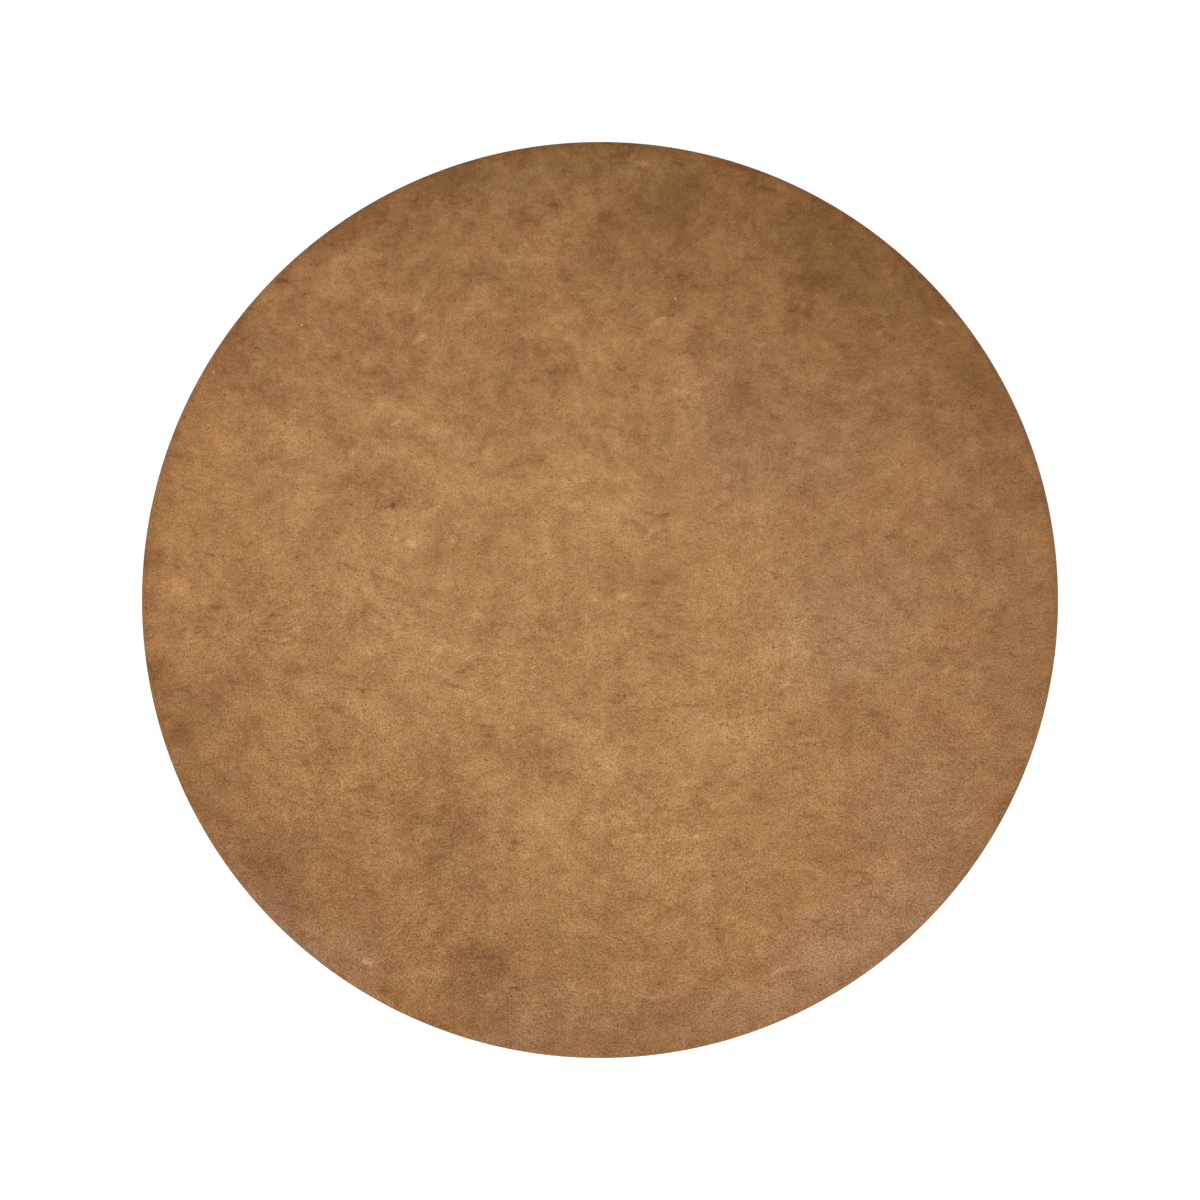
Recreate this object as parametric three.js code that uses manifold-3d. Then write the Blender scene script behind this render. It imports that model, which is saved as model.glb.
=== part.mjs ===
// Equipal table: a round wooden top in a stretched pigskin cover, standing on a drum of cedar slats.
// Pairs of slats cross like scissors, an upright stands behind each place where two pairs meet,
// hoops hold the ends of all of them, and hide thongs tie each crossing to a hoop at the waist.
// Millimetres, +Z up, origin on the floor at the drum's centre.

import * as THREE from 'three';
import { mergeVertices } from 'three/addons/utils/BufferGeometryUtils.js';
import Module from 'manifold-3d';

const wasm = await Module();
wasm.setup();

// Driving sizes of the whole table
const tableHeight = 750;
const topDiameter = 914;
const clearance = 0.3;
const hideThickness = 2.4;

// Table top
const topSides = 72;
const plankCount = 5;
const plankThickness = 20;
const rimHoopHeight = 62;
const rimHoopThickness = 9;
const rimRounding = 7;
const hemHeight = 30;
const foldRounding = 2.4;
const roundSteps = 3;
const battenOffset = 150;
const battenWidth = 60;
const battenHeight = 24;
const battenEndGap = 12;
const battenEndBevel = 14;

// Drum
const drumSides = 54;
const footRadius = 292;
const waistRadius = 242;
const collarRadius = 268;
const hoopThickness = 7;
const footHoopHeight = 64;
const collarHoopHeight = 60;
const waistHoopHeight = 28;
const hoopEase = 1.6;

// Slats
const scissorCount = 10;
const scissorWidth = 35;
const uprightWidth = 30;
const slatThickness = 7;
const slatChamfer = 1.6;
const slatSetback = 3;
const endGap = 1.6;
const bendSteps = 2;

// Hide cuffs on the drum
const collarCuffOverhang = 27;
const collarCuffInnerDrop = 24;
const footCuffOverhang = 24;
const cuffFloorGap = 3;
const cuffRounding = 2;

// Blocks that hold the top on the drum
const blockWidth = 46;
const blockDepth = 34;
const blockHeight = 44;
const blockBevel = 12;

// Thongs that tie the crossings
const thongWidth = 6;
const thongThickness = 2.2;
const thongBend = 1.6;
const thongSteps = 1;

// Heights, from the table top down
const plankTop = tableHeight - hideThickness - clearance;
const plankBottom = plankTop - plankThickness;
const rimHoopBottom = plankTop - rimHoopHeight;
const battenTop = plankBottom - clearance;
const battenBottom = battenTop - battenHeight;
const collarCuffTop = battenBottom - clearance;
const collarTop = collarCuffTop - hideThickness - clearance;
const collarBottom = collarTop - collarHoopHeight;
const collarCuffBottom = collarBottom - collarCuffOverhang;
const footCuffTop = footHoopHeight + footCuffOverhang;
const slatTop = collarTop - slatSetback;
const slatBottom = slatSetback;
const waistHeight = (slatTop + slatBottom) / 2;
const slatHalfLength = (slatTop - slatBottom) / 2;
const waistStraight = waistHoopHeight / 2 + 2 * thongWidth;

// Radii of the table top, from its edge inwards
const topRadius = topDiameter / 2;
const rimHoopOuter = topRadius - hideThickness - clearance;
const rimHoopInner = rimHoopOuter - rimHoopThickness;
const hemOuter = rimHoopInner - clearance;
const hemInner = hemOuter - hideThickness;
const topFlatness = Math.cos(Math.PI / topSides);
const plankRadius = rimHoopInner * topFlatness - clearance;

// Layers of slats. A flat slat's edges stand further from the drum's axis than its middle does.
const drumFlatness = Math.cos(Math.PI / drumSides);
const edgeRise = Math.hypot(waistRadius, scissorWidth / 2) - waistRadius;
const layerPitch = slatThickness + clearance + edgeRise;
const waistHoopOuter = waistRadius - layerPitch / 2 - slatThickness / 2 - clearance;

// Angles round the drum, and how far a crossing and a joint between pairs reach up the slats
const pairAngle = (2 * Math.PI) / scissorCount;
const smallestEndRadius = Math.min(footRadius, collarRadius);
const scissorHalfSpan = pairAngle / 2 - (scissorWidth + endGap) / 2 / smallestEndRadius;
const scissorSlope = (waistRadius * scissorHalfSpan) / slatHalfLength;
const crossingReach = scissorWidth / 2 / scissorSlope;
const meetingAngle = pairAngle / 2 - (scissorWidth + uprightWidth) / 2 / waistRadius;
const meetingReach = (slatHalfLength * meetingAngle) / scissorHalfSpan;

// Materials
const material = (color, roughness) => new THREE.MeshStandardMaterial({ color, roughness, metalness: 0 });
const pigskin = material(0xa3774e, 0.62);
const cedar = material(0x9a6238, 0.55);
const pineBoard = material(0xb98a57, 0.7);
const thongHide = material(0x7d5230, 0.6);

// Outlines and solids
const smoothShare = (share) => share * share * (3 - 2 * share);

function roundCorner([x, y], radius, firstQuarter, steps) {
  const points = [];
  for (let step = 0; step <= steps; step += 1) {
    const angle = (Math.PI / 2) * (firstQuarter + step / steps);
    points.push([x + radius * Math.cos(angle), y + radius * Math.sin(angle)]);
  }
  return points;
}

function revolve(outline, sides) {
  const points = outline.map(([radius, height]) => new THREE.Vector2(radius, height));
  return new THREE.LatheGeometry(points, sides).rotateX(Math.PI / 2);
}

function revolveRing(outline, sides) {
  return revolve([...outline, outline[0]], sides);
}

function extrude(shape, depth) {
  return new THREE.ExtrudeGeometry(shape, { depth, bevelEnabled: false, steps: 1 });
}

// Skins the rings. A leaning slat's faces twist, and each is split so that it dips and never bulges.
function loft(rings, lean) {
  const count = rings[0].length;
  const corners = [];
  const around = (ring, place) => ring * count + (place % count);
  for (let ring = 0; ring < rings.length - 1; ring += 1) {
    for (let place = 0; place < count; place += 1) {
      const [a, b] = [around(ring, place), around(ring, place + 1)];
      const [c, d] = [around(ring + 1, place + 1), around(ring + 1, place)];
      corners.push(...(lean < 0 ? [a, b, d, b, c, d] : [a, b, c, a, c, d]));
    }
  }
  const last = rings.length - 1;
  for (let place = 1; place < count - 1; place += 1) {
    corners.push(around(0, 0), around(0, place + 1), around(0, place));
    corners.push(around(last, 0), around(last, place), around(last, place + 1));
  }
  const geometry = new THREE.BufferGeometry().setFromPoints(rings.flat());
  geometry.setIndex(corners);
  geometry.computeVertexNormals();
  return geometry;
}

function toSolid(geometry) {
  const bare = new THREE.BufferGeometry();
  bare.setAttribute('position', geometry.getAttribute('position'));
  bare.setIndex(geometry.index);
  const merged = mergeVertices(bare);
  return new wasm.Manifold(new wasm.Mesh({
    numProp: 3,
    vertProperties: merged.getAttribute('position').array,
    triVerts: new Uint32Array(merged.index.array),
  }));
}

function toGeometry(solid) {
  const mesh = solid.getMesh();
  const geometry = new THREE.BufferGeometry();
  geometry.setAttribute('position', new THREE.BufferAttribute(mesh.vertProperties, mesh.numProp));
  geometry.setIndex(new THREE.BufferAttribute(mesh.triVerts, 1));
  geometry.computeVertexNormals();
  return geometry;
}

const table = new THREE.Group();

function addPiece(name, geometry, finish, parent = table) {
  const piece = new THREE.Mesh(geometry, finish);
  piece.name = name;
  parent.add(piece);
  return piece;
}

// Pigskin cover: over the top, round the rim, under the hoop and up its inside as a hem
function coverGeometry() {
  const underside = tableHeight - hideThickness;
  const foldTop = rimHoopBottom - clearance;
  const apronBottom = foldTop - hideThickness;
  const innerBend = rimRounding + clearance;
  const outerBend = innerBend + hideThickness;
  const inside = rimHoopOuter + clearance;
  const outline = [
    [0, underside],
    ...roundCorner([inside - innerBend, underside - innerBend], innerBend, 0, roundSteps).reverse(),
    [inside, foldTop],
    [hemOuter, foldTop],
    [hemOuter, foldTop + hemHeight],
    [hemInner, foldTop + hemHeight],
    ...roundCorner([hemInner + foldRounding, apronBottom + foldRounding], foldRounding, 2, 1),
    ...roundCorner([topRadius - foldRounding, apronBottom + foldRounding], foldRounding, 3, 1),
    ...roundCorner([topRadius - outerBend, tableHeight - outerBend], outerBend, 0, roundSteps),
    [0, tableHeight],
  ];
  return revolve(outline, topSides);
}

function rimHoopGeometry() {
  const outline = [
    [rimHoopInner, rimHoopBottom],
    [rimHoopOuter, rimHoopBottom],
    ...roundCorner([rimHoopOuter - rimRounding, plankTop - rimRounding], rimRounding, 0, roundSteps),
    [rimHoopInner, plankTop],
  ];
  return revolveRing(outline, topSides);
}

// A strip of the round board between two straight joints, seen from above
function plankShape(left, right) {
  const arcSteps = Math.ceil(topSides / plankCount / 2);
  const bow = (from, to) => {
    const points = [];
    for (let step = 0; step <= arcSteps; step += 1) {
      const angle = from + ((to - from) * step) / arcSteps;
      points.push(new THREE.Vector2(plankRadius * Math.cos(angle), plankRadius * Math.sin(angle)));
    }
    return points;
  };
  const [rightAngle, leftAngle] = [Math.acos(right / plankRadius), Math.acos(left / plankRadius)];
  const points = [...bow(rightAngle, leftAngle), ...bow(-leftAngle, -rightAngle)];
  const apart = points.filter((point, place) => {
    const before = points[(place + points.length - 1) % points.length];
    return point.distanceTo(before) > clearance / 2;
  });
  return new THREE.Shape(apart);
}

function addPlanks() {
  const joint = (place) => plankRadius * ((2 * place) / plankCount - 1);
  for (let place = 0; place < plankCount; place += 1) {
    const left = joint(place) + (place > 0 ? clearance / 2 : 0);
    const right = joint(place + 1) - (place < plankCount - 1 ? clearance / 2 : 0);
    const board = extrude(plankShape(left, right), plankThickness);
    addPiece(`top_plank_${place + 1}`, board, pineBoard).position.z = plankBottom;
  }
}

// Battens cross the planks from below and carry the top on the drum
function addBattens() {
  const reach = hemInner * topFlatness - battenEndGap;
  const halfLength = Math.sqrt(reach ** 2 - (battenOffset + battenWidth / 2) ** 2);
  const outline = new THREE.Shape([
    new THREE.Vector2(-halfLength, battenHeight),
    new THREE.Vector2(-halfLength, battenEndBevel),
    new THREE.Vector2(-halfLength + battenEndBevel, 0),
    new THREE.Vector2(halfLength - battenEndBevel, 0),
    new THREE.Vector2(halfLength, battenEndBevel),
    new THREE.Vector2(halfLength, battenHeight),
  ]);
  for (const [name, side] of [['batten_front', -1], ['batten_back', 1]]) {
    const shape = extrude(outline, battenWidth).rotateX(Math.PI / 2);
    const batten = addPiece(name, shape, pineBoard);
    batten.position.set(0, side * battenOffset + battenWidth / 2, battenBottom);
  }
}

// Hoops of bent wood round the drum
function hoopOutline(inner, outer, bottom, top, ease) {
  return [
    [inner, bottom],
    [outer - ease, bottom],
    [outer, bottom + ease],
    [outer, top - ease],
    [outer - ease, top],
    [inner, top],
  ];
}

// Inner radius of a ring that clears the scissor slats' outer edges
function radiusRoundSlats(layerRadius) {
  const slatEdge = Math.hypot(layerRadius + slatThickness / 2, scissorWidth / 2);
  return (slatEdge + clearance) / drumFlatness;
}

function hoopRadii(layerRadius) {
  const outerHoopInner = radiusRoundSlats(layerRadius);
  const innerHoopOuter = layerRadius - layerPitch - slatThickness / 2 - clearance;
  return {
    outerHoopInner,
    outerHoopOuter: outerHoopInner + hoopThickness,
    innerHoopOuter,
    innerHoopInner: innerHoopOuter - hoopThickness,
  };
}

const foot = hoopRadii(footRadius);
const collar = hoopRadii(collarRadius);

function addHoops() {
  const waistInner = waistHoopOuter - hoopThickness;
  const waistBottom = waistHeight - waistHoopHeight / 2;
  const hoops = [
    ['foot_hoop_outer', foot.outerHoopInner, foot.outerHoopOuter, 0, footHoopHeight],
    ['foot_hoop_inner', foot.innerHoopInner, foot.innerHoopOuter, 0, footHoopHeight],
    ['waist_hoop', waistInner, waistHoopOuter, waistBottom, waistBottom + waistHoopHeight],
    ['collar_hoop_outer', collar.outerHoopInner, collar.outerHoopOuter, collarBottom, collarTop],
    ['collar_hoop_inner', collar.innerHoopInner, collar.innerHoopOuter, collarBottom, collarTop],
  ];
  for (const [name, inner, outer, bottom, top] of hoops) {
    addPiece(name, revolveRing(hoopOutline(inner, outer, bottom, top, hoopEase), drumSides), cedar);
  }
}

// Distance of the scissor slats from the drum's axis: straight at the hoops, and drawn in to the waist
function drumRadius(height) {
  const below = height < waistHeight;
  const endRadius = below ? footRadius : collarRadius;
  const endDistance = below ? waistHeight - footHoopHeight : collarBottom - waistHeight;
  const share = (Math.abs(height - waistHeight) - waistStraight) / (endDistance - waistStraight);
  return waistRadius + (endRadius - waistRadius) * smoothShare(Math.min(1, Math.max(0, share)));
}

// Share of a crossing's spread: whole where two slats lie over each other, none where uprights meet them
function crossingShare(height) {
  const distance = Math.abs(height - waistHeight);
  const share = (meetingReach - distance) / (meetingReach - crossingReach);
  return smoothShare(Math.min(1, Math.max(0, share)));
}

function slatHeights() {
  const bends = [];
  for (let step = 0; step <= bendSteps; step += 1) {
    bends.push(crossingReach + ((meetingReach - crossingReach) * step) / bendSteps);
  }
  const lower = [slatHalfLength, waistHeight - footHoopHeight, ...bends, waistStraight];
  const upper = [slatHalfLength, collarBottom - waistHeight, ...bends, waistStraight];
  const heights = [
    ...lower.map((distance) => waistHeight - distance),
    ...upper.map((distance) => waistHeight + distance),
  ];
  return heights.sort((a, b) => a - b);
}

// A split slat lofted up the drum: its angle and its layer change with height, its section stays level
function slatGeometry(width, lean, endOffset, crossingOffset) {
  const rings = slatHeights().map((height) => {
    const angle = (lean * scissorHalfSpan * (height - waistHeight)) / slatHalfLength;
    const offset = endOffset + (crossingOffset - endOffset) * crossingShare(height);
    const middle = drumRadius(height) + offset;
    const [back, front] = [middle - slatThickness / 2, middle + slatThickness / 2];
    const section = [
      [back, -width / 2],
      [front - slatChamfer, -width / 2],
      [front, -width / 2 + slatChamfer],
      [front, width / 2 - slatChamfer],
      [front - slatChamfer, width / 2],
      [back, width / 2],
    ];
    return section.map(([out, across]) => new THREE.Vector3(
      out * Math.cos(angle) - across * Math.sin(angle),
      out * Math.sin(angle) + across * Math.cos(angle),
      height,
    ));
  });
  return loft(rings, lean);
}

// Thong tie: two slanting loops round a crossing and the waist hoop behind it
function thongLoop(back, front, halfLength) {
  const rectangle = (low, high, half, bend) => {
    const corners = [
      ...roundCorner([high - bend, half - bend], bend, 0, thongSteps),
      ...roundCorner([low + bend, half - bend], bend, 1, thongSteps),
      ...roundCorner([low + bend, -half + bend], bend, 2, thongSteps),
      ...roundCorner([high - bend, -half + bend], bend, 3, thongSteps),
    ];
    return corners.map(([x, y]) => new THREE.Vector2(x, y));
  };
  const loop = new THREE.Shape(rectangle(
    back - thongThickness,
    front + thongThickness,
    halfLength + thongThickness,
    thongBend + thongThickness,
  ));
  loop.holes.push(new THREE.Path(rectangle(back, front, halfLength, thongBend)));
  return extrude(loop, thongWidth).translate(0, 0, -thongWidth / 2);
}

function tieGeometry() {
  const windowHeight = waistHoopHeight / 2 + clearance + thongWidth / 2;
  const windowWidth = (scissorWidth + thongWidth) / 2 + scissorSlope * waistStraight + clearance;
  const halfLength = Math.hypot(windowHeight, windowWidth);
  const slant = Math.atan2(windowHeight, windowWidth);
  const twist = (scissorSlope * waistStraight) / waistRadius;
  const front = waistRadius + layerPitch / 2 + slatThickness / 2 + clearance + (scissorWidth / 2) * twist;
  const hoopBack = (waistHoopOuter - hoopThickness) * drumFlatness;
  const back = Math.sqrt(hoopBack ** 2 - windowWidth ** 2) - clearance;
  const loop = (turn) => toSolid(thongLoop(back, front, halfLength).rotateX(turn));
  return toGeometry(loop(slant).add(loop(-slant))).translate(0, 0, waistHeight);
}

function addLattice() {
  const rightSlat = slatGeometry(scissorWidth, 1, 0, layerPitch / 2);
  const leftSlat = slatGeometry(scissorWidth, -1, 0, -layerPitch / 2);
  const upright = slatGeometry(uprightWidth, 0, -layerPitch, -layerPitch / 2);
  const tie = tieGeometry();
  for (let pair = 0; pair < scissorCount; pair += 1) {
    const place = new THREE.Group();
    place.rotation.z = pair * pairAngle;
    addPiece(`scissor_slat_right_${pair + 1}`, rightSlat, cedar, place);
    addPiece(`scissor_slat_left_${pair + 1}`, leftSlat, cedar, place);
    addPiece(`crossing_tie_${pair + 1}`, tie, thongHide, place);
    const between = new THREE.Group();
    between.rotation.z = (pair + 1 / 2) * pairAngle;
    addPiece(`upright_${pair + 1}`, upright, cedar, between);
    table.add(place, between);
  }
}

// Cuffs of hide round the ends of the drum, drawn in on the slats at their free edges
function collarCuffGeometry() {
  const outerFace = collar.outerHoopOuter + clearance;
  const innerFace = collar.innerHoopInner - clearance;
  const lip = radiusRoundSlats(drumRadius(collarCuffBottom));
  const innerBottom = collarTop - collarCuffInnerDrop;
  const outside = outerFace + hideThickness;
  const inside = innerFace - hideThickness;
  return revolveRing([
    [lip, collarCuffBottom],
    [lip + hideThickness, collarCuffBottom],
    [outside, collarBottom],
    ...roundCorner([outside - cuffRounding, collarCuffTop - cuffRounding], cuffRounding, 0, 1),
    ...roundCorner([inside + cuffRounding, collarCuffTop - cuffRounding], cuffRounding, 1, 1),
    [inside, innerBottom],
    [innerFace, innerBottom],
    [innerFace, collarTop + clearance],
    [outerFace, collarTop + clearance],
    [outerFace, collarBottom],
  ], drumSides);
}

function footCuffGeometry() {
  const face = foot.outerHoopOuter + clearance;
  const lip = radiusRoundSlats(drumRadius(footCuffTop));
  return revolveRing([
    [face, cuffFloorGap],
    [face + hideThickness, cuffFloorGap],
    [face + hideThickness, footHoopHeight],
    [lip + hideThickness, footCuffTop],
    [lip, footCuffTop],
    [face, footHoopHeight],
  ], drumSides);
}

// Blocks inside the collar, under the battens
function addBlocks() {
  const cuffInside = (collar.innerHoopInner - clearance - hideThickness) * drumFlatness;
  const outerFace = Math.sqrt(cuffInside ** 2 - (blockWidth / 2) ** 2) - clearance;
  const innerFace = outerFace - blockDepth;
  const bearing = Math.asin(battenOffset / (outerFace - blockDepth / 2));
  const outline = new THREE.Shape([
    new THREE.Vector2(innerFace, 0),
    new THREE.Vector2(innerFace, -blockHeight + blockBevel),
    new THREE.Vector2(innerFace + blockBevel, -blockHeight),
    new THREE.Vector2(outerFace, -blockHeight),
    new THREE.Vector2(outerFace, 0),
  ]);
  const places = [
    ['fixing_block_back_right', bearing],
    ['fixing_block_back_left', Math.PI - bearing],
    ['fixing_block_front_left', Math.PI + bearing],
    ['fixing_block_front_right', -bearing],
  ];
  for (const [name, angle] of places) {
    const shape = extrude(outline, blockWidth).rotateX(Math.PI / 2).translate(0, blockWidth / 2, 0);
    const block = addPiece(name, shape, pineBoard);
    block.position.z = collarCuffTop;
    block.rotation.z = angle;
  }
}

addPiece('hide_cover', coverGeometry(), pigskin);
addPiece('rim_hoop', rimHoopGeometry(), cedar);
addPlanks();
addBattens();
addBlocks();
addPiece('collar_cuff', collarCuffGeometry(), pigskin);
addPiece('foot_cuff', footCuffGeometry(), pigskin);
addHoops();
addLattice();

export default table;
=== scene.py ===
# Looks of an equipal table: a round top in a stretched pigskin, on a drum of crossed cedar slats.
# Metres, +Z up. The top of the photograph is towards +Y.

import math
import random

import bmesh
import bpy
from mathutils import Matrix, Vector, noise


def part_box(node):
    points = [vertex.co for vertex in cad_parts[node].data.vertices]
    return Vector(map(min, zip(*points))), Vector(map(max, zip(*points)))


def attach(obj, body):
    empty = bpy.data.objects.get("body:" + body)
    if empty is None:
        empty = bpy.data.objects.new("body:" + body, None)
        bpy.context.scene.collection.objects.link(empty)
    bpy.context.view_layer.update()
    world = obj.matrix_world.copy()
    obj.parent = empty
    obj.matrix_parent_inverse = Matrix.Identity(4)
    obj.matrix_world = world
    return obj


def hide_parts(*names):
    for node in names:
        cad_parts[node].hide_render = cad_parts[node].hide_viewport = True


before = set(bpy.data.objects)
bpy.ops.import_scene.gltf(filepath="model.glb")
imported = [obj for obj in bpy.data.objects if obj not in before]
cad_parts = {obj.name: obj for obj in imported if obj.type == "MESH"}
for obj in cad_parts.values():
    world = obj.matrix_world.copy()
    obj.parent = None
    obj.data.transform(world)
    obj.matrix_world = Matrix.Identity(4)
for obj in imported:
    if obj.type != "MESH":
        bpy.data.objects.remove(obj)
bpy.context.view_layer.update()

MM = 0.001

# Sizes that the frame gives
COVER_LOW, COVER_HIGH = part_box("hide_cover")
TOP = COVER_HIGH.z
TOP_RADIUS = COVER_HIGH.x
APRON_BOTTOM = COVER_LOW.z
PLANK_COUNT = 5
PLANK_PITCH = 2 * TOP_RADIUS / PLANK_COUNT
SLAT_LOW, SLAT_HIGH = (corner.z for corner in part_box("upright_1"))
COLLAR_LOW, COLLAR_HIGH = (corner.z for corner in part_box("collar_hoop_inner"))
COLLAR_CUFF_LOW, COLLAR_CUFF_TOP = (corner.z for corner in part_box("collar_cuff"))
FOOT_HOOP_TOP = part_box("foot_hoop_inner")[1].z
FOOT_CUFF_LOW, FOOT_CUFF_TOP = (corner.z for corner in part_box("foot_cuff"))
WAIST_HOOP_LOW, WAIST_HOOP_HIGH = (corner.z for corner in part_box("waist_hoop"))

# Sizes of the model's own pieces
GAP = 0.3 * MM
HIDE = 2.4 * MM
RIM_HOOP_THICKNESS = 9 * MM
COVER_EDGE = 9.7 * MM
FOLD = 3 * MM
HEM = 30 * MM
FOOT_RADIUS = 292 * MM
WAIST_RADIUS = 242 * MM
COLLAR_RADIUS = 268 * MM
HOOP_THICKNESS = 7 * MM
SCISSOR_WIDTH = 35 * MM
UPRIGHT_WIDTH = 30 * MM
SLAT_THICKNESS = 7 * MM
SLAT_END_GAP = 1.6 * MM
PAIRS = 10
THONG_WIDTH = 4.4 * MM
THONG_THICKNESS = 1.5 * MM
TIE_BAND = 6 * MM

# Angles, layers and reaches of the slats, as in the model
PAIR_ANGLE = math.tau / PAIRS
WAIST = (SLAT_LOW + SLAT_HIGH) / 2
HALF_SLAT = (SLAT_HIGH - SLAT_LOW) / 2
LAYER = SLAT_THICKNESS + GAP + math.hypot(WAIST_RADIUS, SCISSOR_WIDTH / 2) - WAIST_RADIUS
HALF_SPAN = PAIR_ANGLE / 2 - (SCISSOR_WIDTH + SLAT_END_GAP) / 2 / COLLAR_RADIUS
SLOPE = WAIST_RADIUS * HALF_SPAN / HALF_SLAT
CROSSING_REACH = SCISSOR_WIDTH / 2 / SLOPE
MEETING_REACH = HALF_SLAT * (PAIR_ANGLE / 2 - (SCISSOR_WIDTH + UPRIGHT_WIDTH) / 2 / WAIST_RADIUS) / HALF_SPAN
WAIST_STRAIGHT = (WAIST_HOOP_HIGH - WAIST_HOOP_LOW) / 2 + 2 * TIE_BAND

# The photograph's frame
FRAME_PX = 1200
CENTRE_PX = (600, 600)
DISC_PX = 916
PX = 2 * TOP_RADIUS / DISC_PX


def srgb(red, green, blue):
    """A colour as it shows on screen, 0 to 255, as the linear colour that materials hold."""
    def linear(level):
        share = level / 255
        return share / 12.92 if share <= 0.04045 else ((share + 0.055) / 1.055) ** 2.4
    return (linear(red), linear(green), linear(blue), 1.0)


# Material nodes

def source(tree, kind, **settings):
    """Adds a node that needs no input."""
    made = tree.nodes.new("ShaderNode" + kind)
    for name, value in settings.items():
        setattr(made, name, value)
    return made


def node(kind, inputs, **settings):
    """Adds a node to the tree that its inputs come from, and links or sets its inputs."""
    tree = next(value.id_data for value in inputs.values() if isinstance(value, bpy.types.NodeSocket))
    made = source(tree, kind, **settings)
    for key, value in inputs.items():
        if isinstance(value, bpy.types.NodeSocket):
            tree.links.new(value, made.inputs[key])
        else:
            made.inputs[key].default_value = value
    return made


def calc(how, *values):
    """One step of arithmetic with numbers."""
    return node("Math", dict(enumerate(values)), operation=how).outputs[0]


def calc_vector(how, *values):
    """One step of arithmetic with places or colours."""
    return node("VectorMath", dict(enumerate(values)), operation=how).outputs[0]


def object_place(tree):
    return source(tree, "TexCoord").outputs["Object"]


def stretch(place, scale=(1, 1, 1), turn=(0, 0, 0), shift=(0, 0, 0)):
    return node("Mapping", {"Vector": place, "Scale": scale, "Rotation": turn,
                            "Location": shift}).outputs["Vector"]


def clouds(place, scale, detail=2.0, roughness=0.5, distortion=0.0, output="Fac"):
    return node("TexNoise", {"Vector": place, "Scale": scale, "Detail": detail,
                             "Roughness": roughness, "Distortion": distortion}).outputs[output]


def sum_of(value, factor, offset):
    return calc("MULTIPLY_ADD", value, factor, offset)


def times(first, second):
    return calc("MULTIPLY", first, second)


def spread(value, low, high, to_low=0.0, to_high=1.0):
    return node("MapRange", {"Value": value, "From Min": low, "From Max": high, "To Min": to_low,
                             "To Max": to_high}, interpolation_type="SMOOTHSTEP").outputs["Result"]


def ramp(value, stops):
    """A colour ramp: stops are (position, colour)."""
    made = node("ValToRGB", {"Fac": value})
    elements = made.color_ramp.elements
    while len(elements) < len(stops):
        elements.new(0.5)
    for element, (position, colour) in zip(elements, stops):
        element.position = position
        element.color = colour
    return made.outputs["Color"]


def tint(share, under, over):
    """Lays a share of one colour over another, by the Mix node's numbered sockets for colours."""
    return node("Mix", {0: share, 6: under, 7: over}, data_type="RGBA").outputs[2]


def surface(name, roughness=0.6, specular=0.3):
    material = bpy.data.materials.new(name)
    material.use_nodes = True
    shader = material.node_tree.nodes["Principled BSDF"]
    shader.inputs["Roughness"].default_value = roughness
    shader.inputs["Specular IOR Level"].default_value = specular
    return material, material.node_tree, shader


def finish_surface(shader, colour, height, depth, roughness=None):
    """Links the colour, a bump of a height map with its depth in metres, and a roughness map."""
    links = shader.id_data.links
    links.new(colour, shader.inputs["Base Color"])
    bump = node("Bump", {"Height": height, "Strength": 1.0, "Distance": depth})
    links.new(bump.outputs["Normal"], shader.inputs["Normal"])
    if roughness is not None:
        links.new(roughness, shader.inputs["Roughness"])


# Stains and other darker and lighter blots on the hide, by the photograph's pixels: middle, half sizes, lean
# in degrees, and how much lighter

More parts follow.
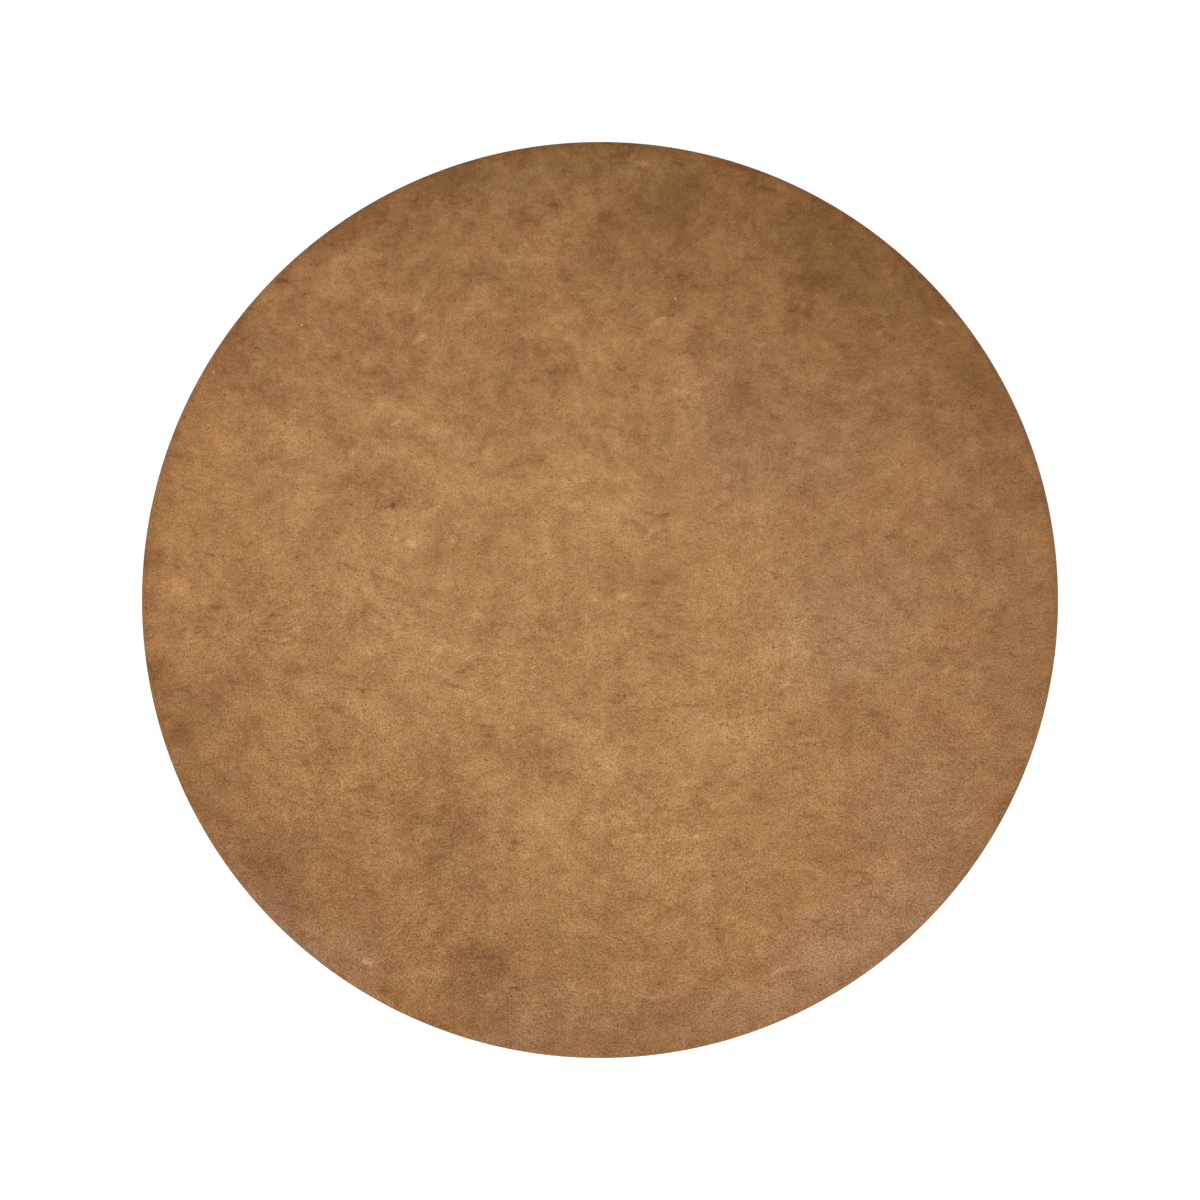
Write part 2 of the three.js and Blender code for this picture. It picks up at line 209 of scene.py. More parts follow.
HIDE_BLOTS = (
    # The first five rows make the upper edge and upper right of the top darker
    (890, 250, 340, 260, -45, -0.19),
    (850, 205, 190, 100, -35, -0.14),
    (955, 325, 120, 80, -50, -0.03),
    (1000, 440, 100, 70, -65, -0.08),
    (640, 165, 330, 80, 0, -0.15),
    (558, 184, 60, 44, 10, -0.13),
    (738, 184, 90, 44, -10, 0.10),
    (470, 175, 170, 60, 25, -0.07),
    (655, 235, 110, 60, 0, -0.08),
    (660, 300, 60, 34, 0, -0.07),
    (741, 436, 70, 90, 0, -0.11),
    (889, 546, 44, 44, 0, -0.08),
    (983, 546, 44, 60, 0, -0.09),
    (1016, 690, 60, 90, 0, -0.09),
    (855, 734, 50, 60, 0, -0.09),
    (835, 587, 50, 44, 0, -0.06),
    (486, 970, 60, 46, 20, -0.15),
    (275, 875, 76, 32, -40, -0.12),
    (560, 929, 44, 40, 0, -0.08),
    (222, 712, 90, 46, 20, -0.08),
    (160, 545, 50, 20, 15, -0.22),
    (172, 745, 40, 18, 10, -0.11),
    (196, 466, 44, 70, 10, -0.08),
    (278, 325, 90, 50, 35, -0.10),
    (322, 248, 50, 34, 35, -0.06),
    (372, 345, 60, 40, 30, -0.08),
    (399, 258, 110, 50, -30, -0.09),
    (437, 820, 60, 100, 30, -0.12),
    (399, 478, 44, 44, 0, -0.10),
    (331, 516, 44, 40, 0, -0.09),
    (493, 385, 44, 40, 0, -0.08),
    (540, 755, 44, 36, 0, -0.10),
    (640, 588, 50, 30, 45, -0.09),
    (419, 526, 44, 36, 0, 0.13),
    (412, 439, 50, 40, 0, 0.09),
    (600, 761, 50, 44, 0, 0.10),
    (728, 755, 66, 50, 0, 0.11),
    (781, 627, 60, 54, 0, 0.08),
    (742, 338, 110, 34, 0, -0.05),
    (654, 862, 70, 60, 0, 0.12),
    (600, 500, 230, 120, 0, 0.04),
    (419, 640, 70, 60, 0, 0.08),
    (170, 605, 60, 80, 0, 0.10),
    (300, 790, 70, 50, 30, 0.08),
    (230, 470, 150, 110, 0, 0.09),
    (820, 960, 230, 90, 40, 0.08),
    (960, 760, 120, 160, 0, 0.06),
    (935, 866, 56, 44, 40, -0.09),
    (500, 1020, 80, 30, 0, -0.06),
    (700, 1016, 70, 30, 0, -0.05),
    (300, 560, 140, 190, 0, 0.08),
    (570, 290, 160, 120, 0, -0.08),
    (800, 430, 130, 90, 0, -0.07),
    (665, 480, 90, 70, 0, -0.06),
    (430, 185, 90, 60, 0, -0.07),
    (900, 830, 110, 100, 0, 0.04),
)

# Tints on the hide: ellipses as above, the share and the colour. Three long thin ones along the lower rim are
# painted sheen, a bluish reflection of light on the rolled edge.

TINTS = (
    # Painted sheen: a pale bluish reflection of light along the lower right rim
    (850, 960, 260, 74, 38, 0.42, srgb(166, 126, 102)),
    (760, 440, 160, 120, 0, 0.25, srgb(150, 112, 84)),
    # Painted sheen: the same reflection along the lower left rim
    (300, 920, 140, 34, -42, 0.40, srgb(162, 122, 102)),
    # Painted sheen: the same reflection at the bottom of the rim
    (515, 1032, 60, 24, 0, 0.30, srgb(146, 114, 100)),
    (1000, 640, 240, 420, 0, 0.22, srgb(157, 115, 80)),
    (800, 230, 260, 180, 0, 0.40, srgb(134, 95, 52)),
    (836, 618, 120, 110, 0, 0.25, srgb(152, 120, 90)),
    (905, 806, 80, 80, 0, 0.20, srgb(152, 118, 92)),
    (560, 160, 240, 70, 0, 0.35, srgb(136, 102, 62)),
    (180, 500, 130, 220, 0, 0.25, srgb(180, 126, 72)),
    (640, 850, 260, 150, 0, 0.22, srgb(178, 136, 86)),
    (350, 820, 90, 90, 0, 0.25, srgb(162, 114, 68)),
    (419, 620, 90, 110, 0, 0.12, srgb(180, 128, 86)),
    (290, 520, 270, 360, 0, 0.20, srgb(172, 121, 79)),
    (640, 1015, 260, 50, 0, 0.25, srgb(152, 110, 82)),
)

HIDE_TONES = (
    (0.0, srgb(112, 74, 38)),
    (0.25, srgb(138, 96, 54)),
    (0.5, srgb(163, 118, 72)),
    (0.75, srgb(184, 138, 89)),
    (1.0, srgb(206, 160, 108)),
)


# How far a cloud of height 1 moves red, green and blue, as shares of the colour that it lies on
MOTTLE_DEPTH = (1.4, 1.9, 2.15)
GRAIN_DEPTH = (1.4, 1.95, 3.25)
HUE_DEPTH = (0.29, 0.26, 0.61)

# Clouds in the hide: how many go into a metre, their detail and their roughness
BROAD_CLOUDS = (8.0, 2.0, 0.6)
MOTTLE_CLOUDS = (30.0, 4.0, 0.86)
SMUDGES = (52.0, 1.0, 0.4)
HUE_CLOUDS = (95.0, 4.0, 0.85)
CREASES = (60.0, 4.0, 0.6)
GRAINS = (540.0, 1.0, 1.0)
BRUSHED_PATCHES = (12.0, 1.0, 0.5)
HAIR_PATCHES = (16.0, 1.0, 0.5)
PORES_A_METRE = 150.0

# How the lines of patterns are shaken: clouds in a metre, how far they reach, and their detail
STAIN_SHAKE = (9.0, 100 * MM, 3.0)
PATTERN_SHAKE = (6.0, 50 * MM, 1.0)

# How strongly the patterns lighten and darken the hide, and how high they stand in its relief
BROAD_LIGHT = 0.32
MOTTLE_LIGHT = 0.80
GRAIN_LIGHT = 1.32
CREASE_HEIGHT = 1.6
GRAIN_HEIGHT = 0.5
PORE_HEIGHT = -0.6

# What a pattern's value becomes: from which value to which, and what it is at either end where that
# isn't 0 and 1
BRUSHED_SHARE = (0.3, 0.7, 0.3, 1.0)
HAIR_SHARE = (0.40, 0.65, 0.2, 1.2)
SMUDGE_LIGHT = (0.64, 0.86, 0.0, 0.13)
PORE_EDGE = (0.06, 0.21, 1.0, 0.0)
PORE_SHARE = (0.4, 1.0, 0.0, 0.8)
FLECK_SHARE = (0.985, 1.0, 0.0, 0.7)
HIDE_ROUGHNESS = (0.3, 0.7, 0.8, 0.64)
BLOT_EDGE = (0.0, 0.8)

# Dashes on the hide: their lean in degrees, how many go into a metre along and across them, the cloud's
# heights where one starts and where it is full, and how much lighter it is there; then the cloud itself
BRUSHED_LOW = ((15, 36, 120, 0.56, 0.82, -0.26), (35, 38, 60, 0.62, 0.82, 0.36))
BRUSHED_HIGH = ((-15, 40, 100, 0.56, 0.84, -0.20), (-35, 40, 56, 0.62, 0.84, 0.33))
HAIRS = ((-28, 100, 300, 0.58, 0.80, -0.17), (22, 110, 320, 0.58, 0.80, -0.17))
DASH_CLOUDS = (1.0, 2.0, 0.6)

# The top grows darker towards its rim, and its edge is polished: from which radius or height to which,
# and for the radii how much there is of it at either end
RIM_SHADE = (140 * MM, 480 * MM, 0.0, -0.20)
POLISH_OUT = (425 * MM, 456 * MM, 0.0, 0.37)
POLISH_UP = (TOP - 24 * MM, TOP - 12 * MM)
# Between which places along Y the dashes change over from the lower half's to the upper half's
BRUSHED_TURN = (40 * MM, 200 * MM)

# How contrast changes over the table: along which axis, from where to where, and its factor at each end
MOTTLE_FADES = (("X", -0.42, 0.42, 1.12, 0.96), ("Y", 0.05, 0.40, 1.0, 1.34))
GRAIN_FADES = (("Y", -0.44, 0.42, 0.88, 0.40), ("X", -0.42, 0.10, 1.12, 1.0),
               ("X", 0.05, 0.40, 1.0, 1.12), ("Z", TOP - 30 * MM, TOP - 8 * MM, 0.55, 1.0))

RIM_POLISH = srgb(136, 90, 48)
CUFF_DYE = srgb(146, 94, 54)
CUFF_DYE_SHARE = 0.35
PORE_COLOUR = srgb(88, 57, 36)
FLECK_COLOUR = srgb(214, 188, 156)
HANDLED_COLOUR = srgb(92, 58, 34)
HANDLED_SHARE = 0.45
HANDLED_REACH = 7 * MM
HIDE_BUMP = 0.4 * MM


def blot(place, x_px, y_px, half_x, half_y, lean):
    """1 in the middle of an ellipse on the top, given in pixels, falling softly to 0 at its edge."""
    centre = ((x_px - CENTRE_PX[0]) * PX, (CENTRE_PX[1] - y_px) * PX, TOP)
    own = node("Mapping", {"Vector": place, "Location": centre, "Rotation": (0, 0, math.radians(lean)),
                           "Scale": (half_x * PX, half_y * PX, 1)}, vector_type="TEXTURE")
    cone = node("TexGradient", {"Vector": own.outputs[0]}, gradient_type="SPHERICAL").outputs["Fac"]
    return spread(cone, *BLOT_EDGE)


def axis_of(place, axis):
    return node("SeparateXYZ", {"Vector": place}).outputs[axis]


def shaken(place, scale, reach, detail):
    """The place moved about by a cloud, so that what is drawn with it loses its straight edges."""
    cloud = clouds(place, scale, detail, output="Color")
    move = stretch(cloud, (reach, reach, reach), shift=(-reach / 2, -reach / 2, -reach / 2))
    return calc_vector("ADD", place, move)


def centred(value, factor):
    """A cloud's value, which is about a half, as plus or minus a share of the factor."""
    return sum_of(value, factor, -0.5 * factor)


def shade(colour, amount, depth):
    """Lightens a colour, or darkens it where the amount is below zero."""
    return calc_vector("MULTIPLY", colour, calc_vector("MULTIPLY_ADD", amount, depth, (1, 1, 1)))


def add(*values):
    total = values[0]
    for value in values[1:]:
        total = calc("ADD", total, value)
    return total


def dashes(place, rows):
    """Short soft dashes, where drawn-out clouds are at their highest."""
    shares = []
    for lean, along, across, low, high, amount in rows:
        drawn = stretch(place, (along, across, across), (0, 0, math.radians(-lean)))
        shares.append(spread(clouds(drawn, *DASH_CLOUDS), low, high, 0.0, amount))
    return add(*shares)


def faded(place, value, fades):
    """A value made stronger or weaker from place to place."""
    for axis, start, end, first, last in fades:
        value = times(value, spread(axis_of(place, axis), start, end, first, last))
    return value


def near_heights(place, heights, reach):
    """1 at each of some heights, falling softly to 0 at the reach above and below."""
    level = axis_of(place, "Z")
    shares = []
    for height in heights:
        away = calc("ABSOLUTE", sum_of(level, 1.0, -height))
        shares.append(spread(away, 0.0, reach, 1.0, 0.0))
    return add(*shares)


def blotted_hide_with_sheen(place, warped, light):
    """The top's colour under its fine patterns: stains and other blots, darker towards the rim, tints, a
    painted sheen on the lower rim, a polished edge.
    """
    # Blots, the first of them darkening the upper edge and upper right of the top
    for *ellipse, shift in HIDE_BLOTS:
        light = sum_of(blot(warped, *ellipse), shift, light)
    flat = stretch(place, (1, 1, 0))
    radius = node("VectorMath", {0: flat}, operation="LENGTH").outputs["Value"]
    colour = ramp(add(spread(radius, *RIM_SHADE), light), HIDE_TONES)
    # Tints, three of which are painted sheen on the lower rim
    for *ellipse, share, tint_and_sheen_colour in TINTS:
        colour = tint(times(blot(warped, *ellipse), share), colour, tint_and_sheen_colour)
    polished = times(spread(radius, *POLISH_OUT), spread(axis_of(place, "Z"), *POLISH_UP))
    return tint(polished, colour, RIM_POLISH)


def mottling(place, warped, wavy):
    """Light and dark patches from a few millimetres to a few centimetres wide, with brushed dashes."""
    upper = spread(axis_of(warped, "Y"), *BRUSHED_TURN)
    brushed = node("Mix", {"Factor": upper, "A": dashes(wavy, BRUSHED_LOW),
                           "B": dashes(wavy, BRUSHED_HIGH)}, data_type="FLOAT").outputs[0]
    patchy = spread(clouds(place, *BRUSHED_PATCHES), *BRUSHED_SHARE)
    mottle = add(centred(clouds(wavy, *MOTTLE_CLOUDS), MOTTLE_LIGHT), times(brushed, patchy))
    thick = spread(clouds(warped, *HAIR_PATCHES), *HAIR_SHARE)
    mottle = sum_of(dashes(wavy, HAIRS), thick, faded(place, mottle, MOTTLE_FADES))
    return add(mottle, spread(clouds(wavy, *SMUDGES), *SMUDGE_LIGHT))


def pores(place):
    """The shares of dark pores and of the few pale flecks between them."""
    speck = node("TexVoronoi", {"Vector": place, "Scale": PORES_A_METRE, "Randomness": 1.0})
    dot = spread(speck.outputs["Distance"], *PORE_EDGE)
    chosen = node("SeparateColor", {"Color": speck.outputs["Color"]}).outputs
    return (times(dot, spread(chosen["Red"], *PORE_SHARE)),
            times(dot, spread(chosen["Green"], *FLECK_SHARE)))


def pigskin(name, tone, rubbed, blotted_with_sheen=False):
    """Matte tan pigskin: clouds from a hand's width down to the grain, brushed dashes, pores, stains and
    blots, and on the top a painted sheen along the lower rim.
    Its cut or folded edges, at the rubbed heights, are darker from hands and polish."""
    material, tree, shader = surface(name, specular=0.22)
    place = object_place(tree)
    warped = shaken(place, *STAIN_SHAKE)
    wavy = shaken(place, *PATTERN_SHAKE)
    light = add(centred(clouds(place, *BROAD_CLOUDS), BROAD_LIGHT), tone)
    # Only the top gets the blots, the darker rim, the tints with their painted sheen, and the polished edge
    if blotted_with_sheen:
        colour = blotted_hide_with_sheen(place, warped, light)
    else:
        colour = tint(CUFF_DYE_SHARE, ramp(light, HIDE_TONES), CUFF_DYE)
    colour = shade(colour, mottling(place, warped, wavy), MOTTLE_DEPTH)
    grain = clouds(place, *GRAINS)
    colour = shade(colour, faded(place, centred(grain, GRAIN_LIGHT), GRAIN_FADES), GRAIN_DEPTH)
    drift = calc_vector("SUBTRACT", clouds(wavy, *HUE_CLOUDS, output="Color"), (0.5, 0.5, 0.5))
    colour = shade(colour, drift, HUE_DEPTH)
    pore, fleck = pores(place)
    colour = tint(pore, colour, PORE_COLOUR)
    colour = tint(fleck, colour, FLECK_COLOUR)
    handled = near_heights(place, rubbed, HANDLED_REACH)
    colour = tint(times(handled, HANDLED_SHARE), colour, HANDLED_COLOUR)
    creases = clouds(warped, *CREASES)
    height = sum_of(creases, CREASE_HEIGHT, sum_of(grain, GRAIN_HEIGHT, times(pore, PORE_HEIGHT)))
    finish_surface(shader, colour, height, HIDE_BUMP, spread(creases, *HIDE_ROUGHNESS))
    return material


CEDAR_TONES = (
    (0.0, srgb(92, 56, 32)),
    (0.3, srgb(126, 80, 47)),
    (0.55, srgb(152, 101, 61)),
    (0.8, srgb(176, 124, 79)),
    (1.0, srgb(196, 148, 102)),
)
PINE_TONES = (
    (0.0, srgb(138, 96, 56)),
    (0.35, srgb(172, 126, 78)),
    (0.6, srgb(194, 150, 98)),
    (1.0, srgb(214, 176, 124)),
)


LOG_LENGTH = 2.3
LATE_WOOD_RINGS = 95.0
KNOTS = (3.4, 8, 8)
KNOT = srgb(98, 60, 32)
HOOP_Y_SHARE = 0.04
WOOD_BUMP = 0.35 * MM

# Clouds in the wood: how many times finer than the grain's two scales they are along and across it, then
# their detail, roughness and distortion. The patches go by its scale along it alone.
FIBRES = (6, 9, 3.0, 0.7)
RINGS = (1, 1, 5.0, 0.6, 0.3)
FIGURE = (0.7, 0.4, 1.0, 0.4)
PATCHES = (2, 7, 2.0, 0.5)

# How strongly the patterns lighten and darken the wood, and how high they stand in its relief
PATCH_LIGHT = 0.5
RING_LIGHT = 0.62
FIBRE_LIGHT = 0.42
LATE_WOOD_LIGHT = -0.18
LOG_LIGHT = 0.42
WORN_AND_HIGHLIT_LIGHT = 0.4
RING_HEIGHT = 0.6
LATE_WOOD_HEIGHT = 0.25

# What a pattern's value becomes: from which value to which, and what it is at either end where that
# isn't 0 and 1
LATE_WOOD_EDGE = (0.1, 1.0)
KNOT_FIGURE = (0.02, 0.28, 0.35, 0.0)
KNOT_HEART = (0.04, 0.10, 0.75, 0.0)
WOOD_ROUGHNESS = (0.3, 0.7, 0.5, 0.66)
# How far across and through a slat its edges are paler, partly from wear and partly as a painted highlight on
# the eased edges
WORN_AND_HIGHLIT_ACROSS = (13 * MM, 16.5 * MM)
WORN_AND_HIGHLIT_THROUGH = (1.8 * MM, 3.2 * MM)


def own_log(place):
    """A random number from 0 to 1, the same all over one piece: each is cut from a log of its own."""
    log = calc("ROUND", times(axis_of(place, "X"), 1 / LOG_LENGTH))
    return node("TexWhiteNoise", {"W": log}, noise_dimensions="1D").outputs["Value"]


def grained(place, along, across, finer_along, finer_across, *kind):
    """Clouds drawn out along the grain."""
    fine = across * finer_across
    return clouds(stretch(place, (along * finer_along, fine, fine)), 1.0, *kind)


def wood(name, place_of, tones, along, across, tone=0.58, worn_and_highlit=False, knots=False):
    """Wood whose grain runs where the place changes slowly: along and across are the grain's two scales."""
    material, tree, shader = surface(name, specular=0.3)
    place = place_of(tree)
    fibres = grained(place, along, across, *FIBRES)
    rings = grained(place, along, across, *RINGS)
    figure = grained(place, along, across, *FIGURE)
    patches = grained(place, along, along, *PATCHES)
    if knots:
        whorl = node("TexVoronoi", {"Vector": stretch(place, KNOTS), "Scale": 1.0})
        figure = sum_of(spread(whorl.outputs["Distance"], *KNOT_FIGURE), 1.0, figure)
    late_wood = spread(calc("SINE", times(figure, LATE_WOOD_RINGS)), *LATE_WOOD_EDGE)
    light = add(centred(patches, PATCH_LIGHT), centred(rings, RING_LIGHT), centred(fibres, FIBRE_LIGHT),
                times(late_wood, LATE_WOOD_LIGHT), centred(own_log(place), LOG_LIGHT), tone)
    # Paler slat edges: partly wear, partly a painted highlight along the eased edges
    if worn_and_highlit:
        edge = times(beyond(place, "Y", *WORN_AND_HIGHLIT_ACROSS), beyond(place, "Z", *WORN_AND_HIGHLIT_THROUGH))
        light = sum_of(times(edge, patches), WORN_AND_HIGHLIT_LIGHT, light)
    colour = ramp(light, tones)
    if knots:
        colour = tint(spread(whorl.outputs["Distance"], *KNOT_HEART), colour, KNOT)
    height = add(fibres, times(rings, RING_HEIGHT), times(late_wood, LATE_WOOD_HEIGHT))
    finish_surface(shader, colour, height, WOOD_BUMP, spread(fibres, *WOOD_ROUGHNESS))
    return material


def beyond(place, axis, low, high):
    """0 near the middle of a piece and 1 past a distance from it, on either side."""
    return spread(calc("ABSOLUTE", axis_of(place, axis)), low, high)


def straight_place(tree):
    """Where a point was before its piece was bent: x along the piece, y across it, z through it."""
    return source(tree, "Attribute", attribute_name="straight").outputs["Vector"]


def hoop_place(tree):
    """Grain round a hoop: slow along X and Y, quick up Z, read as x, y, z of a straight piece."""
    axes = node("SeparateXYZ", {"Vector": object_place(tree)}).outputs
    through = times(axes["Y"], HOOP_Y_SHARE)
    return node("CombineXYZ", {"X": axes["X"], "Y": axes["Z"], "Z": through}).outputs[0]


def plank_place(tree):
    """Grain along Y, with each plank cut from another part of the log."""
    axes = node("SeparateXYZ", {"Vector": object_place(tree)}).outputs
    which = calc("FLOOR", sum_of(axes["X"], 1 / PLANK_PITCH, PLANK_COUNT / 2))
    along = sum_of(which, LOG_LENGTH, axes["Y"])
    return node("CombineXYZ", {"X": along, "Y": axes["X"], "Z": axes["Z"]}).outputs[0]


IRON_TONES = ((0.35, srgb(64, 58, 54)), (0.7, srgb(96, 78, 64)))
THONG_TONES = ((0.0, srgb(84, 54, 32)), (0.4, srgb(120, 80, 48)), (0.7, srgb(150, 106, 66)),
               (1.0, srgb(176, 132, 88)))
# Clouds in iron and thongs, their light and the roughness, given as for the hide
RUST_SPOTS = (500.0, 3.0, 0.6)
THONG_GRAINS = (420.0, 4.0, 0.7)
THONG_PATCHES = (30.0, 3.0, 0.6)
THONG_GRAIN_LENGTH = 2
THONG_GRAIN_LIGHT = 0.35
THONG_PATCH_LIGHT = 0.8
THONG_TONE = -0.2
THONG_ROUGHNESS = (0.3, 0.7, 0.42, 0.62)
IRON_METALLIC = 0.85
IRON_BUMP = 0.1 * MM
THONG_BUMP = 0.25 * MM


def iron(name):
    material, tree, shader = surface(name, roughness=0.45, specular=0.5)
    shader.inputs["Metallic"].default_value = IRON_METALLIC
    rust = clouds(object_place(tree), *RUST_SPOTS)
    finish_surface(shader, ramp(rust, IRON_TONES), rust, IRON_BUMP)
    return material


def thong_hide(name):
    material, tree, shader = surface(name, specular=0.35)
    place = straight_place(tree)
    grain = clouds(stretch(place, (1 / THONG_GRAIN_LENGTH, 1, 1)), *THONG_GRAINS)
    patches = sum_of(clouds(place, *THONG_PATCHES), THONG_PATCH_LIGHT, THONG_TONE)
    colour = ramp(sum_of(grain, THONG_GRAIN_LIGHT, patches), THONG_TONES)
    finish_surface(shader, colour, grain, THONG_BUMP, spread(grain, *THONG_ROUGHNESS))
    return material


PIGSKIN = pigskin("pigskin_top", tone=0.588, rubbed=[APRON_BOTTOM], blotted_with_sheen=True)
PIGSKIN_CUFF = pigskin("pigskin_cuff", tone=0.40, rubbed=[COLLAR_CUFF_LOW, COLLAR_CUFF_TOP,
                                                          FOOT_CUFF_TOP, FOOT_CUFF_LOW])
CEDAR_SLAT = wood("cedar_slat", straight_place, CEDAR_TONES, along=1.6, across=110, worn_and_highlit=True)
CEDAR_HOOP = wood("cedar_hoop", hoop_place, CEDAR_TONES, along=2.0, across=120, tone=0.54)
PINE_PLANK = wood("pine_plank", plank_place, PINE_TONES, along=1.4, across=45, knots=True)
PINE_PIECE = wood("pine_piece", straight_place, PINE_TONES, along=1.8, across=60)
IRON = iron("dark_iron")
THONG = thong_hide("hide_thong")


# Piece making

def face_outwards(shape):
    """Turns the faces of a closed piece outwards, also where its walls lie close together."""
    bmesh.ops.recalc_face_normals(shape, faces=shape.faces)
    if shape.calc_volume(signed=True) < 0:
        bmesh.ops.reverse_faces(shape, faces=shape.faces)


def put(name, data):
    thing = bpy.data.objects.new(name, data)
    bpy.context.collection.objects.link(thing)
    return thing


def mesh_of(name, shape):
    mesh = bpy.data.meshes.new(name)
    shape.to_mesh(mesh)
    shape.free()
    return mesh


def keep(name, shape, material, replaced=(), sharp=35):
    """Closes off a bmesh as a finished object that rides on the table's one body."""
    face_outwards(shape)
    mesh = mesh_of(name, shape)
    mesh.materials.append(material)
    mesh.shade_smooth()
    mesh.set_sharp_from_angle(angle=math.radians(sharp))
    piece = put(name, mesh)
    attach(piece, "root")
    if replaced:
        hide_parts(*replaced)
    return piece


def note_straight(shape, shift=0.0):
    """Keeps each point's place on the straight piece, moved along by a shift of its own log or hide."""
    layer = shape.verts.layers.float_vector.get("straight") or shape.verts.layers.float_vector.new("straight")
    for vertex in shape.verts:
        vertex[layer] = vertex.co + Vector((shift, 0, 0))


def sawn(length, width, thickness):
    """A plain box round the origin."""
    shape = bmesh.new()
    bmesh.ops.create_cube(shape, size=1)
    bmesh.ops.scale(shape, vec=(length, width, thickness), verts=shape.verts)
    return shape


def ease_edges(shape, edges, offset, segments):
    bmesh.ops.bevel(shape, geom=edges, offset=offset, offset_type="OFFSET", segments=segments,
                    profile=0.5, affect="EDGES", material=-1)


def strip(length, width, thickness, steps, ease, segments=2, shift=0.0):
    """A straight strip along X, Y across, Z through, with eased long edges and steps along it."""
    shape = sawn(length, width, thickness)

    def long_edges():
        return [edge for edge in shape.edges
                if abs(edge.verts[0].co.x - edge.verts[1].co.x) > length / 2]

    if ease:
        ease_edges(shape, long_edges(), ease, segments)
    bmesh.ops.subdivide_edges(shape, edges=long_edges(), cuts=steps - 1, use_grid_fill=True)
    note_straight(shape, shift)
    return shape


def lay(shape, place):
    """Moves each point of a straight piece to place(along, across, through)."""
    for vertex in shape.verts:
        vertex.co = place(*vertex.co)


def join(shapes):
    """One bmesh of several, each a closed piece."""
    whole = bmesh.new()
    for shape in shapes:
        face_outwards(shape)
        mesh = mesh_of("part", shape)
        whole.from_mesh(mesh)
        bpy.data.meshes.remove(mesh)
    return whole


def arc(centre_r, centre_z, radius, first, last, steps):
    """Points of a round corner in the profile plane, angles in quarter turns."""
    points = []
    for step in range(steps + 1):
        angle = math.pi / 2 * (first + (last - first) * step / steps)
        points.append((centre_r + radius * math.cos(angle), centre_z + radius * math.sin(angle)))
    return points


def line(start, end, steps):
    """Points from start towards end, without the end itself."""
    return [(start[0] + (end[0] - start[0]) * step / steps, start[1] + (end[1] - start[1]) * step / steps)
            for step in range(steps)]


MERGE_DISTANCE = 0.01 * MM


def spin(profile, steps):
    """Revolves an open profile of (radius, height) points round the table's axis."""
    shape = bmesh.new()
    points = [shape.verts.new((radius, 0, height)) for radius, height in profile]
    edges = [shape.edges.new(pair) for pair in zip(points, points[1:])]
    bmesh.ops.spin(shape, geom=points + edges, cent=(0, 0, 0), axis=(0, 0, 1), angle=math.tau, steps=steps,
                   use_merge=True, use_duplicate=False, dvec=(0, 0, 0))
    bmesh.ops.remove_doubles(shape, verts=shape.verts, dist=MERGE_DISTANCE)
    return shape


def smooth(share):
    share = min(1.0, max(0.0, share))
    return share * share * (3 - 2 * share)


def ripple(angle, seed, waves):
    """A closed wavy line round the table, from -1 to 1: waves are whole numbers of waves."""
    steady = random.Random(seed)
    return sum(math.sin(count * angle + steady.uniform(0, math.tau)) for count in waves) / len(waves)


def upright_to(angle, radius, height, sideways=0.0):
    """A point at a radius from the table's axis and at a height, moved sideways at a right angle to both."""
    return Vector((radius * math.cos(angle) - sideways * math.sin(angle),
                   radius * math.sin(angle) + sideways * math.cos(angle), height))


# The hide over the top

COVER_STEPS = 288
TOP_RINGS = 44
EDGE_RINGS = 8
APRON_RINGS = 12
FOLD_RINGS = 4
HEM_RINGS = 5
HEM_FACE = TOP_RADIUS - 2 * HIDE - 2 * GAP - RIM_HOOP_THICKNESS
APRON_WAVES = (23, 37, 58, 83)
HEM_WAVES = (5, 11, 17)
GATHER = 1.3 * MM
GATHER_START = 50 * MM
HEM_WANDER = 2 * MM
APRON_SEED = 4
HEM_SEED = 9
SAG = 0.5 * MM
SAG_FADE = 60 * MM
SAGS_A_METRE = 9


